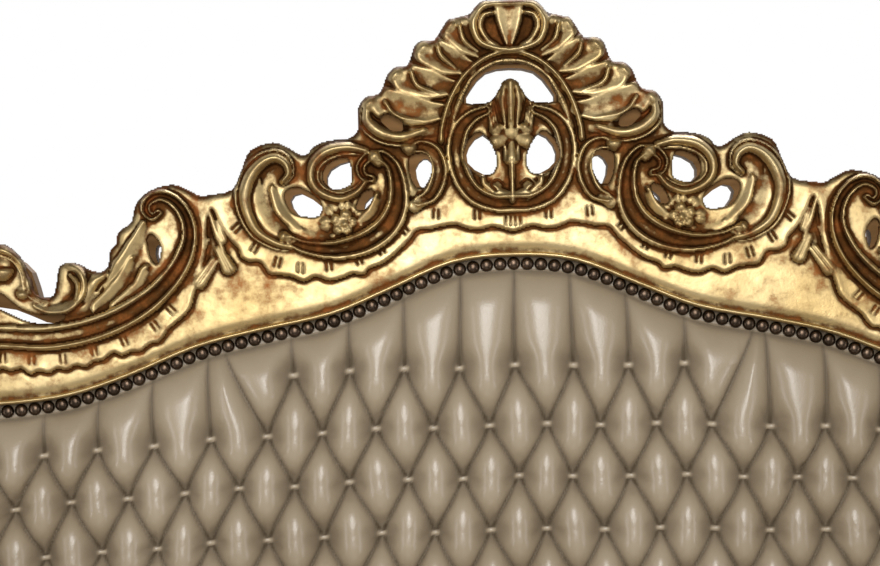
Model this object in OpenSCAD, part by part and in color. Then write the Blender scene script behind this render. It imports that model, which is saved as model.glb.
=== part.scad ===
// Gilt carved sofa with a deep-tufted leather back, closed arms and a loose bench cushion.
// Frame: +X to the viewer's right, +Y to the rear, +Z up, origin on the floor below the centre.
// The back is drawn in its own plane: x across, z up the slope, y = 0 on the frame's front face.

/* [Overall] */
// Overall depth from the apron shell to the rear feet
sofa_d = 800; // [770:5:860]
// Height of the top of the seat rails
rail_top_z = 300; // [270:5:330]
// Height of the seat rails
rail_h = 95; // [80:5:110]
// Thickness of the seat rails
rail_t = 32; // [26:1:38]

/* [Back] */
// Rake of the back from upright, in degrees
back_rake = 12; // [8:1:15]
// Half width of the back over its stiles
crest_half_w = 719; // [690:1:750]
// Height of the peak of the nail line up the slope from the rails
nail_peak_w = 644; // [600:2:680]
// Rise of the carved crest above that peak
crest_h = 273; // [240:1:300]
// Thickness of the crest board and the stiles
board_t = 34; // [30:1:40]
// Width of a stile
post_w = 60; // [50:1:70]
// How far the crest board reaches down past the corner of the leather, to the tops of the stiles
shoulder_h = 59; // [45:1:80]
// Depth of the rebate for the leather
rebate_y = 14; // [10:1:18]
// Width of the rebate
tongue_h = 26; // [20:1:32]
// Height of the relief of the C-scrolls
relief_h = 22; // [16:1:26]

/* [Leather] */
// Spacing of the tufts across
tuft_pitch = 57; // [52:1:62]
// Spacing of the rows of tufts
tuft_row = 55; // [50:1:60]
// How far the tufted leather stands in front of its margin
puff_h = 36; // [24:1:42]
// Diameter of a nail head
nail_d = 12.7; // [11:0.1:13]
// Spacing of the nails
nail_pitch = 13.9; // [13.5:0.1:16]
// Thickness of the bench cushion
cushion_t = 102; // [85:1:120]
// Height of the crown of the bench cushion
cushion_crown = 16; // [8:1:24]

/* [Arms and legs] */
// Height of the middle of the arm rails
arm_z = 590; // [560:5:610]
// Width of the arm rails
arm_w = 50; // [44:1:56]
// Height of the arm rails
arm_h = 42; // [36:1:48]
// How far an arm spreads outwards from its rear end to its scroll
arm_spread = 57; // [45:1:70]
// Length of the arm pads
arm_pad_l = 250; // [200:5:280]
// Side of the block at the top of a front leg
block_w = 64; // [58:1:70]
// Greatest radius of a front leg
leg_r = 33; // [28:1:36]
// How far a knee stands out
knee_out = 22; // [14:1:26]
// Depth of the foot of a rear leg
rear_foot_d = 36; // [30:1:42]
// How far a rear foot stands behind the stile above it
rear_splay = 95; // [70:5:120]

/* [Hidden] */

gilt = [0.78, 0.62, 0.3];
beech = [0.72, 0.57, 0.4];
hide = [0.62, 0.57, 0.49];
jute = [0.7, 0.6, 0.42];
bronze = [0.27, 0.17, 0.14];
steel = [0.6, 0.6, 0.62];
cloth = [0.16, 0.15, 0.15];

// overrun of every cut
over = 1;
// clearance of soft pieces and of pieces that lift off
gap = 0.3;
// clearance of a dowel or screw in its bore
fit = 0.1;

// The carving pattern is a drawing grid with its own units: its centre line, the height of the nail
// line's peak, its half width and its rise. Pattern points are shares of those.
pattern_mid_share = 508;
pattern_nail_share = 263;
pattern_w_share = 698;
pattern_h_share = 265;
function at(p) = [(pattern_mid_share - p[0]) / pattern_w_share * crest_half_w,
    (pattern_nail_share - p[1]) / pattern_h_share * crest_h + nail_peak_w];
function atl(pts) = [for (p = pts) at(p)];
// one grid square, for radii and widths of carvings
grid = crest_h / pattern_h_share;

// front face of the back frame at the height of the rails: the top of the crest ends the depth
back_y = sofa_d / 2 - board_t * cos(back_rake) - (nail_peak_w + pattern_nail_share / pattern_h_share * crest_h) * sin(back_rake);

// smooth curve through points
function blend(a, b, c, d, t) =
    (b * 2 + (c - a) * t + (a * 2 - b * 5 + c * 4 - d) * t * t + (b * 3 - a - c * 3 + d) * t * t * t) / 2;
function curve(pts, n) = concat([for (i = [0 : len(pts) - 2]) for (k = [0 : n - 1])
    blend(pts[max(i - 1, 0)], pts[i], pts[i + 1], pts[min(i + 2, len(pts) - 1)], k / n)], [pts[len(pts) - 1]]);
function ring_curve(pts, n) = let (m = len(pts)) [for (i = [0 : m - 1]) for (k = [0 : n - 1])
    blend(pts[(i + m - 1) % m], pts[i], pts[(i + 1) % m], pts[(i + 2) % m], k / n)];
function rev(v) = [for (i = [len(v) - 1 : -1 : 0]) v[i]];
function flip(v) = [for (p = v) [-p[0], p[1]]];

// faces of a tube of n rings with m points each, closed by its two end rings
function tube_faces(n, m) = concat(
    [[for (j = [0 : m - 1]) j]],
    [for (i = [0 : n - 2]) for (j = [0 : m - 1]) each let (a = i * m + j, b = i * m + (j + 1) % m)
        [[a, a + m, b], [b, a + m, b + m]]],
    [[for (j = [m - 1 : -1 : 0]) (n - 1) * m + j]]);

// a length of carving swept along a path in the plane of the board, flat at the back
rim_shares = [[-1, 0], [-0.8, 1], [-0.1, 0.42], [0.8, 0.88], [1, 0]];
bead_shares = [[-1, 0], [-0.75, 0.7], [0, 1], [0.75, 0.7], [1, 0]];
function swell(t, ends) = ends + (1 - ends) * sqrt(max(0, sin(180 * t)));
module strip(path, section, half_w, tall, ends) {
    n = len(path);
    pts = [for (i = [0 : n - 1]) let (a = path[max(i - 1, 0)], b = path[min(i + 1, n - 1)],
        d = (b - a) / norm(b - a), f = swell(i / (n - 1), ends))
        for (q = section) [path[i][0] - d[1] * q[0] * half_w * f, -q[1] * tall * (1 + f) / 2,
            path[i][1] + d[0] * q[0] * half_w * f]];
    polyhedron(pts, [for (f = tube_faces(n, len(section))) rev(f)]);
}
// a low boss on the board
dome_shares = [[1, 0], [0.86, 0.5], [0.45, 1]];
module disc(r, y0, t, n = 5) { rotate([90, 0, 0]) translate([0, 0, y0]) cylinder(r = r, h = t, $fn = n); }
module boss(p, r, tall) {
    skin = tall / 20;
    translate([p[0], 0, p[1]]) hull() for (s = dome_shares) disc(r * s[0], (tall - skin) * s[1], skin, 9);
}
// a teardrop lobe of a leaf from its root to its tip
module lobe(a, b, ra, rb, tall) {
    skin = tall / 20;
    hull() {
        translate([a[0], 0, a[1]]) { disc(ra, 0, skin); disc(ra / 3, tall / 2, skin); }
        translate([b[0], 0, b[1]]) { disc(rb, 0, skin); disc(rb / 2, tall - skin, skin); }
    }
}
// an outline in the plane of the board, from y0 to y0 + t
module plate(y0, t) { translate([0, y0 + t, 0]) rotate([90, 0, 0]) linear_extrude(t) children(); }
// an outline seen from the side, from x0 to x0 + t
module side_plate(x0, t) { translate([x0, 0, 0]) rotate([90, 0, 90]) linear_extrude(t) children(); }
module on_back() { translate([0, back_y, rail_top_z]) rotate([-back_rake, 0, 0]) children(); }
module side(s) { if (s < 0) mirror([1, 0, 0]) children(); else children(); }
// y of the sloping front face of the back at a height
function back_at(z) = back_y + (z - rail_top_z) * tan(back_rake);

// the back frame
post_in_x = crest_half_w - post_w;
// nail line of the leather, from the centre outwards
nail_line_shares = [[508, 263], [446, 269], [382, 295], [324, 318], [250, 333], [188, 348], [120, 375],
    [62, 393], [4, 400], [-60, 402], [-132, 402]];
nail_inset = 8;
nail_curve = curve(atl(nail_line_shares), 2);
function lip_w(x) = lookup(abs(x), nail_curve) + nail_inset;
lip_xs = [for (p = nail_curve) if (p[0] < post_in_x) p[0]];
post_top_w = lip_w(post_in_x) - shoulder_h;
lip_edge = concat([for (x = lip_xs) [x, lip_w(x)]], [[post_in_x, lip_w(post_in_x)]]);

// upper outline of the pierced crest
silhouette_shares = [[508, 0], [480, 3], [467, 17], [446, 22], [432, 41], [416, 46], [407, 67], [392, 71],
    [380, 92], [363, 99], [358, 128], [345, 142], [318, 149], [304, 159], [288, 152], [270, 146], [252, 152],
    [240, 172], [234, 192], [204, 197], [174, 188], [152, 193], [139, 205], [134, 221], [120, 232], [110, 252],
    [104, 272], [90, 273], [74, 266], [62, 270], [57, 292], [44, 298], [34, 290], [26, 262], [6, 246],
    [-14, 246], [-30, 262], [-34, 285], [-44, 294], [-56, 264], [-76, 240], [-96, 234], [-116, 244],
    [-128, 268], [-132, 294], [-150, 304], [-172, 320], [-184, 345], [-190, 380]];
crest_top = curve(atl(silhouette_shares), 2);
// piercings of the board
hole_arch_shares = [[508, 68], [484, 72], [469, 88], [464, 102], [490, 105], [498, 92], [508, 86], [518, 92],
    [526, 105], [552, 102], [547, 88], [532, 72]];
hole_medallion_shares = [[480, 134], [466, 146], [464, 162], [480, 174], [494, 170], [494, 150]];
hole_side_loop_shares = [[420, 157], [412, 167], [416, 184], [424, 186], [430, 172], [427, 160]];
hole_top_shares = [[345, 158], [327, 166], [323, 180], [336, 190], [351, 182], [350, 168]];
hole_left_shares = [[297, 189], [286, 196], [293, 210], [305, 215], [318, 214], [318, 203]];
hole_right_shares = [[371, 192], [361, 200], [361, 208], [370, 209], [374, 198]];
hole_slot_shares = [[153, 237], [150, 246], [154, 258], [160, 261], [161, 247]];
hole_cup_shares = [[64, 317], [40, 312], [10, 299], [-20, 296], [-32, 303], [-20, 315], [10, 321], [40, 323]];
side_holes = [hole_medallion_shares, hole_side_loop_shares, hole_top_shares, hole_left_shares,
    hole_right_shares, hole_slot_shares, hole_cup_shares];
// dowels between stiles and crest
dowel_r = 5;
dowel_l = 70;
dowel_xs = [post_in_x + post_w / 4, post_in_x + post_w * 3 / 4];
module at_dowels() { for (s = [-1, 1]) for (x = dowel_xs)
    translate([s * x, board_t / 2, post_top_w - dowel_l / 2]) children(); }

module crest_rail() {
    edge = lip_edge;
    low = concat([for (p = edge) if (p[0] < post_in_x - tongue_h) [p[0], p[1] - tongue_h]],
        [[post_in_x - tongue_h, lip_w(post_in_x - tongue_h) - tongue_h], [post_in_x - tongue_h, post_top_w]]);
    foot = [[crest_half_w, post_top_w], [post_in_x, post_top_w]];
    full = concat(crest_top, foot, rev(edge));
    whole = concat(crest_top, [foot[0]], rev(low));
    color(gilt) on_back() difference() {
        union() {
            plate(0, board_t) polygon(concat(full, rev(flip(full))));
            plate(rebate_y, board_t - rebate_y) polygon(concat(whole, rev(flip(whole))));
        }
        translate([0, -over, 0]) {
            plate(0, board_t + over * 2) polygon(ring_curve(atl(hole_arch_shares), 2));
            for (s = [-1, 1]) side(s) for (h = side_holes)
                plate(0, board_t + over * 2) polygon(ring_curve(atl(h), 2));
        }
        at_dowels() cylinder(r = dowel_r + fit, h = dowel_l + fit, $fn = 32);
    }
}
module crest_dowels() { color(beech) on_back() at_dowels() cylinder(r = dowel_r, h = dowel_l, $fn = 32); }

// plain field between the lip and a wavy edge, and the ruffled band that stands above that edge:
// steps across both from the lip up, as shares of the field's width, of the band's and of the relief
band_shares = [[0, 0, 0.16], [1, 0, 0.2], [1, 0.12, 0.46], [1, 1, 0.42]];
band_w = grid * 10;
edge_shares = [[508, 232], [494, 227], [480, 230], [455, 225], [430, 230], [418, 231], [410, 240], [398, 253], [384, 263], [364, 274],
    [330, 281], [316, 277], [304, 281], [281, 275], [269, 274], [261, 264], [249, 262], [241, 276], [230, 292], [212, 302], [196, 300],
    [190, 312], [174, 326], [161, 340], [134, 353], [112, 355], [94, 364], [71, 368], [54, 371], [34, 373], [18, 370], [0, 371],
    [-30, 371], [-63, 373], [-84, 371], [-101, 368], [-124, 364], [-134, 356]];
lip_w_size = 7;
module crest_border() {
    color(gilt) on_back() for (s = [-1, 1]) side(s) {
        pts = [for (p = atl(edge_shares)) let (x = max(0, p[0]), low = lip_w(x) + lip_w_size * 1.2 + gap)
            each concat([[x, 0, low]], [for (c = band_shares) [x, -relief_h * c[2], low + (p[1] - low) * c[0] + band_w * c[1]]],
                [[x, 0, p[1] + band_w]])];
        polyhedron(pts, [for (f = tube_faces(len(edge_shares), len(band_shares) + 2)) rev(f)]);
    }
}

// half-round bead round the leather
lip_t = 8;
function bead_path(inset) = concat([for (x = lip_xs) [x, lip_w(x) - inset]],
    [[post_in_x - inset, lip_w(post_in_x) - inset], [post_in_x - inset, arm_top_w]]);
arm_top_w = (arm_z + arm_h / 2 - rail_top_z) / cos(back_rake);
module crest_lip() {
    across = lip_w_size / 2;
    path = bead_path(-across);
    color(gilt) on_back() for (s = [-1, 1]) side(s) lip_strip(path, across);
}
module lip_strip(path, across) {
    n = len(path);
    lip_section_shares = [[-1, 0], [-0.7, 0.8], [0, 1], [0.7, 0.8], [1, 0]];
    m = len(lip_section_shares);
    pts = [for (i = [0 : n - 1]) let (a = path[max(i - 1, 0)], b = path[min(i + 1, n - 1)],
        d = i == 0 ? [1, 0] : (b - a) / norm(b - a),
        e = i == n - 2 ? sqrt(2) : 1, u = i == n - 2 ? [1, -1] / sqrt(2) : d)
        for (q = lip_section_shares) [path[i][0] - u[1] * q[0] * across * e, -q[1] * lip_t,
            path[i][1] + u[0] * q[0] * across * e]];
    polyhedron(pts, [for (f = tube_faces(n, m)) rev(f)]);
}

// carvings of the crest
lobe_tip_shares = [[450, 32], [424, 56], [398, 82], [374, 107]];
lobe_root_shares = [[477, 46], [462, 68], [447, 90], [436, 114]];
arch_ring_shares = [[508, 60], [486, 63], [466, 78], [454, 98], [450, 116]];
wing_shares = [[363, 112], [366, 126], [382, 137], [404, 136], [424, 128]];
shell_top_shares = [[508, 8], [490, 10], [478, 22], [483, 40], [500, 50]];
lobe_tall = 26;
module crest_shell() {
    color(gilt) on_back() {
        for (s = [-1, 1]) side(s) {
            for (i = [0 : 3]) lobe(at(lobe_root_shares[i]), at(lobe_tip_shares[i]), grid * 9, grid * 13, lobe_tall);
            strip(curve(atl(arch_ring_shares), 2), bead_shares, grid * 5, relief_h * 0.7, 0.9);
            strip(curve(atl(wing_shares), 2), bead_shares, grid * 6, relief_h * 0.7, 0.5);
            strip(curve(atl(shell_top_shares), 2), bead_shares, grid * 5, relief_h, 0.7);
            lobe(at([496, 50]), at([496, 18]), grid * 5, grid * 8, lobe_tall);
        }
        lobe(at([508, 52]), at([508, 16]), grid * 5, grid * 8, lobe_tall);
    }
}
medallion_shares = [[488, 120], [472, 118], [460, 131], [455, 152], [462, 176], [482, 194], [508, 200]];
module crest_medallion() {
    color(gilt) on_back() for (s = [-1, 1]) side(s) {
        strip(curve(atl(medallion_shares), 2), rim_shares, grid * 8, relief_h, 0.8);
        boss(at([488, 124]), grid * 7, relief_h);
        boss(at([498, 184]), grid * 8, relief_h * 0.8);
        lobe(at([470, 188]), at([462, 172]), grid * 4, grid * 6, relief_h);
        lobe(at([474, 120]), at([462, 130]), grid * 4, grid * 5, relief_h);
    }
}
module crest_finial() {
    color(gilt) on_back() {
        for (s = [-1, 1]) side(s) {
            lobe(at([506, 120]), at([497, 100]), grid * 3, grid * 5, lobe_tall * 0.8);
            lobe(at([505, 128]), at([499, 112]), grid * 3, grid * 4, lobe_tall * 0.7);
            lobe(at([506, 152]), at([501, 142]), grid * 2, grid * 3, lobe_tall * 0.6);
        }
        lobe(at([508, 112]), at([508, 88]), grid * 4, grid * 5, lobe_tall);
        lobe(at([508, 150]), at([508, 126]), grid * 3, grid * 5, lobe_tall * 0.8);
        lobe(at([508, 172]), at([508, 158]), grid * 3, grid * 4, lobe_tall * 0.6);
    }
}
side_loop_shares = [[418, 152], [428, 150], [436, 162], [437, 178], [428, 191], [418, 194]];
module crest_side_loops() {
    color(gilt) on_back() for (s = [-1, 1]) side(s) {
        strip(curve(atl(side_loop_shares), 2), bead_shares, grid * 5, relief_h * 0.8, 0.8);
        boss(at([419, 150]), grid * 7, relief_h * 0.8);
        boss(at([420, 196]), grid * 6, relief_h * 0.7);
        lobe(at([436, 206]), at([424, 200]), grid * 4, grid * 5, relief_h * 0.6);
        lobe(at([446, 212]), at([436, 208]), grid * 3, grid * 4, relief_h * 0.5);
    }
}
// deep C-scroll whose middle hangs down like a cup
cup_shares = [[367, 170], [366, 158], [380, 151], [394, 160], [401, 184], [396, 214], [376, 241], [340, 252],
    [302, 248], [268, 230], [248, 202], [248, 172], [264, 154], [282, 158], [287, 173]];
curl_shares = [[364, 150], [334, 152], [316, 166], [316, 184], [330, 196], [350, 194], [366, 181]];
rosette_share = [345, 221];
rosette_r_share = 18;
module cup_scroll(s) {
    color(gilt) on_back() side(s) {
        strip(rev(curve(atl(cup_shares), 2)), rim_shares, grid * 9, relief_h, 0.55);
        strip(curve(atl(curl_shares), 2), bead_shares, grid * 5, relief_h * 0.8, 0.6);
        boss(at([280, 172]), grid * 10, relief_h * 0.9);
        boss(at([371, 170]), grid * 9, relief_h * 0.9);
        for (l = [[[250, 196], [266, 216]], [[262, 206], [281, 226]], [[290, 226], [300, 236]],
            [[300, 240], [314, 234]]]) lobe(at(l[0]), at(l[1]), grid * 4, grid * 6, relief_h * 0.7);
        for (l = [[[396, 196], [383, 214]], [[388, 218], [376, 228]]])
            lobe(at(l[0]), at(l[1]), grid * 4, grid * 5, relief_h * 0.7);
    }
}
module rosette(s) {
    r = rosette_r_share * grid;
    color(gilt) on_back() side(s) translate([at(rosette_share)[0], 0, at(rosette_share)[1]]) {
        for (i = [0 : 7]) rotate([0, i * 45, 0]) lobe([0, r / 4], [0, r * 0.72], r / 5, r * 0.28, relief_h * 0.6);
        boss([0, 0], r * 0.3, relief_h);
    }
}
// shoulder C-scroll with its tongue and leaf sprays
shoulder_shares = [[162, 216], [154, 206], [164, 196], [182, 203], [191, 224], [186, 260], [162, 296], [118, 324],
    [66, 337], [14, 337], [-34, 324], [-72, 298], [-94, 266], [-92, 244], [-76, 242]];
tongue_curl_shares = [[76, 272], [72, 288], [60, 300], [46, 303], [32, 299], [20, 288]];
ridge_shares = [[22, 270], [12, 258], [-4, 254], [-20, 260], [-26, 276]];
module shoulder_scroll(s) {
    color(gilt) on_back() side(s) {
        strip(rev(curve(atl(shoulder_shares), 2)), rim_shares, grid * 10, relief_h, 0.55);
        strip(curve(atl(tongue_curl_shares), 2), bead_shares, grid * 6, relief_h * 0.8, 0.6);
        strip(curve(atl(ridge_shares), 2), bead_shares, grid * 5, relief_h * 0.8, 0.7);
        boss(at([162, 211]), grid * 9, relief_h * 0.9);
        boss(at([-82, 250]), grid * 9, relief_h * 0.9);
        boss(at([2, 268]), grid * 9, relief_h);
        for (l = [[[168, 236], [146, 228]], [[164, 262], [138, 250]], [[148, 288], [124, 268]],
            [[124, 306], [104, 284]], [[98, 318], [84, 296]], [[-60, 290], [-52, 262]], [[-118, 272], [-112, 250]],
            [[-140, 330], [-152, 308]], [[-150, 360], [-166, 330]], [[-156, 392], [-174, 356]]])
            lobe(at(l[0]), at(l[1]), grid * 6, grid * 9, relief_h * 0.8);
        for (l = [[[217, 214], [222, 238]], [[218, 252], [228, 272]], [[212, 256], [206, 282]],
            [[206, 246], [196, 274]]]) lobe(at(l[0]), at(l[1]), grid * 4, grid * 6, relief_h * 0.7);
    }
}

// stile and rear leg in one piece, seen from the side
foot_z = 4;
leg_mid_shares = [0.45, 0.28];
function slope(y, w) = [back_y + y * cos(back_rake) + w * sin(back_rake),
    rail_top_z - y * sin(back_rake) + w * cos(back_rake)];
rail_bot_z = rail_top_z - rail_h;
foot_y = back_y + rear_splay + rear_foot_d;
rear_leg_side = let (run = rear_splay) [
    [back_y, rail_bot_z],
    [back_y + run * leg_mid_shares[1], rail_bot_z * leg_mid_shares[0]],
    [foot_y - rear_foot_d, foot_z], [foot_y, foot_z],
    [back_y + board_t + rear_foot_d / 4 + run * leg_mid_shares[1], rail_bot_z * leg_mid_shares[0]],
    [back_y + board_t + rear_foot_d / 4, rail_bot_z]];
module back_post(s) {
    color(gilt) side(s) difference() {
        union() {
            side_plate(post_in_x, post_w) polygon(concat([slope(0, post_top_w), slope(0, 0)], rear_leg_side,
                [[back_y + board_t + rear_foot_d / 4, rail_top_z - rail_h / 2], slope(board_t, rail_t), slope(board_t, post_top_w)]));
            on_back() translate([post_in_x - tongue_h, rebate_y, low_rail_top_w])
                cube([tongue_h + over, board_t - rebate_y, post_top_w - low_rail_top_w]);
        }
        on_back() at_dowels() translate([0, 0, -fit]) cylinder(r = dowel_r + fit, h = dowel_l, $fn = 32);
    }
}
low_rail_w = 46;
low_rail_h = 60;
low_rail_top_w = low_rail_w + low_rail_h;
module lower_back_rail() { color(beech) on_back() translate([-post_in_x, rebate_y, low_rail_w])
    cube([post_in_x * 2, board_t - rebate_y, low_rail_h]); }
upright_w = 60;
module back_upright() { color(beech) on_back() difference() {
    translate([-upright_w / 2, rebate_y, low_rail_top_w])
        cube([upright_w, board_t - rebate_y, lip_w(0) - tongue_h - low_rail_top_w]);
    low = concat([for (x = lip_xs) if (x < upright_w * 2) [x, lip_w(x) - tongue_h]],
        [[upright_w * 2, lip_w(upright_w * 2) - tongue_h], [upright_w * 2, lip_w(0)], [0, lip_w(0)]]);
    for (s = [-1, 1]) side(s) plate(rebate_y - over, board_t) polygon(low);
} }
strap_w = 50;
strap_t = 2;
strap_pitch = 92;
module back_webbing() {
    n = floor((post_in_x - tongue_h - strap_w) / strap_pitch);
    color(jute) on_back() for (i = [-n : n]) {
        x = i * strap_pitch;
        top = lip_w(abs(x) + strap_w / 2) - nail_inset * 2;
        translate([x - strap_w / 2, rebate_y - strap_t, low_rail_w + nail_inset])
            cube([strap_w, strap_t, top - low_rail_w - nail_inset]);
    }
}

// tufted leather: a sheet over diamonds, flat behind
margin_w = 16;
margin_y = 5;
tuft_rows = 19;
pad_bottom_w = low_rail_w + 10;
pad_cols = floor((post_in_x - margin_w * 1.5) / (tuft_pitch / 2)) + 2;
function pad_x(i) = abs(i) == pad_cols ? sign(i) * (post_in_x - gap)
    : abs(i) == pad_cols - 1 ? sign(i) * (post_in_x - margin_w - gap) : i * tuft_pitch / 2;
// topmost row of tufts, up the slope, as the pattern has it
top_row_share = 366;
top_row_w = at([pattern_mid_share, top_row_share])[1];
function puff(i, w) = let (odd = abs(i) % 2, top = top_row_w - (lip_w(0) - lip_w(pad_x(i))) * 0.8,
    p = (w - top) / (tuft_row * 2) + odd / 2,
    q = pow(abs(sin(180 * p)), 0.6), pleat = odd ? 0.42 : 0.9,
    up = min(1, max(0, (w - top) / tuft_row + odd / 2)))
    q * (1 - up) + pleat * up;
function near_edge(d) = sqrt(min(1, max(0, (d - margin_w) / (tuft_row * 0.7))));
function pad_pt(i, j) = let (x = pad_x(i), top = lip_w(x) - gap * 4, inner = top - margin_w,
    w = j == tuft_rows ? top : pad_bottom_w + (inner - pad_bottom_w) * j / (tuft_rows - 1),
    e = min(near_edge(top - w), near_edge(post_in_x - gap - abs(x)), near_edge(w - pad_bottom_w + margin_w)))
    [x, margin_y - puff_h * e * (0.4 + 0.6 * puff(i, w)), w];
module tufted_back() {
    cols = [for (i = [-pad_cols : pad_cols]) i];
    m = tuft_rows + 1;
    n = len(cols);
    back = rebate_y - strap_t - gap;
    front = [for (i = cols) for (j = [0 : tuft_rows]) pad_pt(i, j)];
    // behind, each column has a lower and an upper point on the flat back
    rear = [for (i = [0 : n - 1]) for (j = [0, m - 1]) [front[i * m][0], back, front[i * m + j][2]]];
    r = n * m;
    q = (n - 1) * m;
    faces = concat(
        [for (i = [0 : n - 2]) for (j = [0 : m - 2]) each let (a = i * m + j, b = a + m)
            (i + j) % 2 == 0 ? [[a, a + 1, b + 1], [a, b + 1, b]] : [[a, a + 1, b], [b, a + 1, b + 1]]],
        [for (i = [0 : n - 2]) each let (a = i * m, b = a + m, u = r + i * 2) [
            [u, u + 2, u + 3], [u, u + 3, u + 1], [a, b, u + 2], [a, u + 2, u],
            [b + m - 1, a + m - 1, u + 1], [b + m - 1, u + 1, u + 3]]],
        [for (j = [0 : m - 2]) each [[j + 1, j, r], [q + j, q + j + 1, r + n * 2 - 2]]],
        [[r + 1, m - 1, r], [q + m - 1, r + n * 2 - 1, r + n * 2 - 2]]);
    color(hide) on_back() polyhedron(concat(front, rear), faces);
}
nail_t = 4;
module nail() {
    rotate([90, 0, 0]) intersection() {
        r = (nail_d * nail_d / 4 + nail_t * nail_t) / (2 * nail_t);
        translate([0, 0, nail_t - r]) sphere(r = r, $fn = 32);
        cylinder(r = nail_d / 2, h = nail_t, $fn = 32);
    }
}
// points at a steady pitch along a path
function run_len(path, i) = i == 0 ? 0 : run_len(path, i - 1) + norm(path[i] - path[i - 1]);
function paced(path, pitch) = let (lens = [for (i = [0 : len(path) - 1]) run_len(path, i)],
    all = lens[len(lens) - 1], n = floor(all / pitch),
    xs = [for (i = [0 : len(path) - 1]) [lens[i], path[i][0]]], ys = [for (i = [0 : len(path) - 1]) [lens[i], path[i][1]]])
    [for (k = [0 : n]) [lookup(k * all / n, xs), lookup(k * all / n, ys)]];
module back_nails() {
    spots = paced(bead_path(nail_inset), nail_pitch);
    color(bronze) on_back() for (i = [0 : len(spots) - 1]) for (s = i == 0 ? [1] : [-1, 1])
        translate([s * spots[i][0], margin_y - gap, spots[i][1]]) nail();
}
panel_t = 6;
module outside_back_panel() {
    inset = nail_inset * 2;
    x1 = post_in_x + inset;
    half = concat([for (p = lip_edge) [p[0], p[1] + inset]], [[x1, lip_w(post_in_x) + inset], [x1, rail_t]]);
    color(hide) on_back() plate(board_t, panel_t) polygon(concat(half, rev(flip(half))));
}

// seat frame
// how far the middle of a front leg stands behind the front of the apron's shell
leg_set = 66;
front_leg_y = -(sofa_d / 2 - leg_set);
front_leg_x = crest_half_w - block_w / 2;
rail_front_y = front_leg_y - block_w / 2;
block_in_x = front_leg_x - block_w / 2;
scallop_shares = [[0, 0], [0.1, 0], [0.14, 0.3], [0.2, 0.32], [0.28, 0.3], [0.34, 0.75], [0.42, 0.8], [0.47, 1],
    [0.53, 1], [0.58, 0.8], [0.66, 0.75], [0.72, 0.3], [0.8, 0.32], [0.86, 0.3], [0.9, 0], [1, 0]];
scallop_h = 34;
screw_r = 2.2;
screw_l = 46;
module seat_rail_front() {
    low = curve([for (p = scallop_shares) [p[0] * block_in_x, rail_bot_z - p[1] * scallop_h]], 2);
    half = concat([[0, rail_top_z]], low, [[block_in_x, rail_top_z]]);
    color(gilt) difference() {
        plate(rail_front_y, rail_t) polygon(concat(rev(low), [for (i = [1 : len(low) - 1]) [-low[i][0], low[i][1]]],
            [[-block_in_x, rail_top_z], [block_in_x, rail_top_z]]));
        screw_bores(fit);
    }
}
module seat_rail_rear() { color(beech) difference() {
    translate([-post_in_x, back_y, rail_bot_z]) cube([post_in_x * 2, rail_t, rail_h]);
    screw_bores(fit);
} }
side_rail_y = front_leg_y + block_w / 2;
module seat_rail_side(s) { color(gilt) side(s) difference() {
    translate([crest_half_w - rail_t, side_rail_y, rail_bot_z]) cube([rail_t, back_y - side_rail_y, rail_h]);
    screw_bores(fit);
} }
brace_w = 45;
brace_h = 60;
module seat_brace() { color(beech) translate([-brace_w / 2, rail_front_y + rail_t, rail_bot_z + brace_h / 4])
    cube([brace_w, back_y - rail_front_y - rail_t, brace_h]); }
// corner blocks stand behind the legs and before the stiles; each has a screw to its rail
cblock = 70;
cblock_h = 60;
cblock_up = 15;
cblock_z = rail_bot_z + cblock_up;
screw_off = 24;
screw_x = crest_half_w - rail_t - screw_off;
module at_corners() {
    for (s = [-1, 1]) side(s) {
        translate([crest_half_w - rail_t, side_rail_y, cblock_z]) children(0);
        translate([crest_half_w - rail_t, back_y, cblock_z]) mirror([0, 1, 0]) children(0);
    }
}
module corner_blocks() {
    color(beech) difference() {
        at_corners() linear_extrude(cblock_h) polygon([[0, 0], [-(crest_half_w - rail_t - block_in_x), 0], [0, cblock]]);
        screw_bores(fit);
    }
}
module corner_screw(c) {
    head = screw_off / 2;
    translate([-screw_l / 3, screw_off, cblock_h / 2]) rotate([0, 90, 0]) cylinder(r = screw_r + c, h = screw_l + c, $fn = 24);
    if (c == 0) translate([-screw_l / 3, screw_off, cblock_h / 2]) rotate([0, 90, 0])
        translate([0, 0, -screw_r]) cylinder(r = screw_r * 2, h = screw_r, $fn = 24);
    if (c > 0) translate([-screw_l / 3 - screw_off, screw_off, cblock_h / 2]) rotate([0, 90, 0])
        cylinder(r = screw_r * 2 + c, h = screw_off, $fn = 24);
}
module screw_bores(c) { at_corners() corner_screw(c); }
module block_screws() { color(steel) at_corners() corner_screw(0); }

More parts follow.
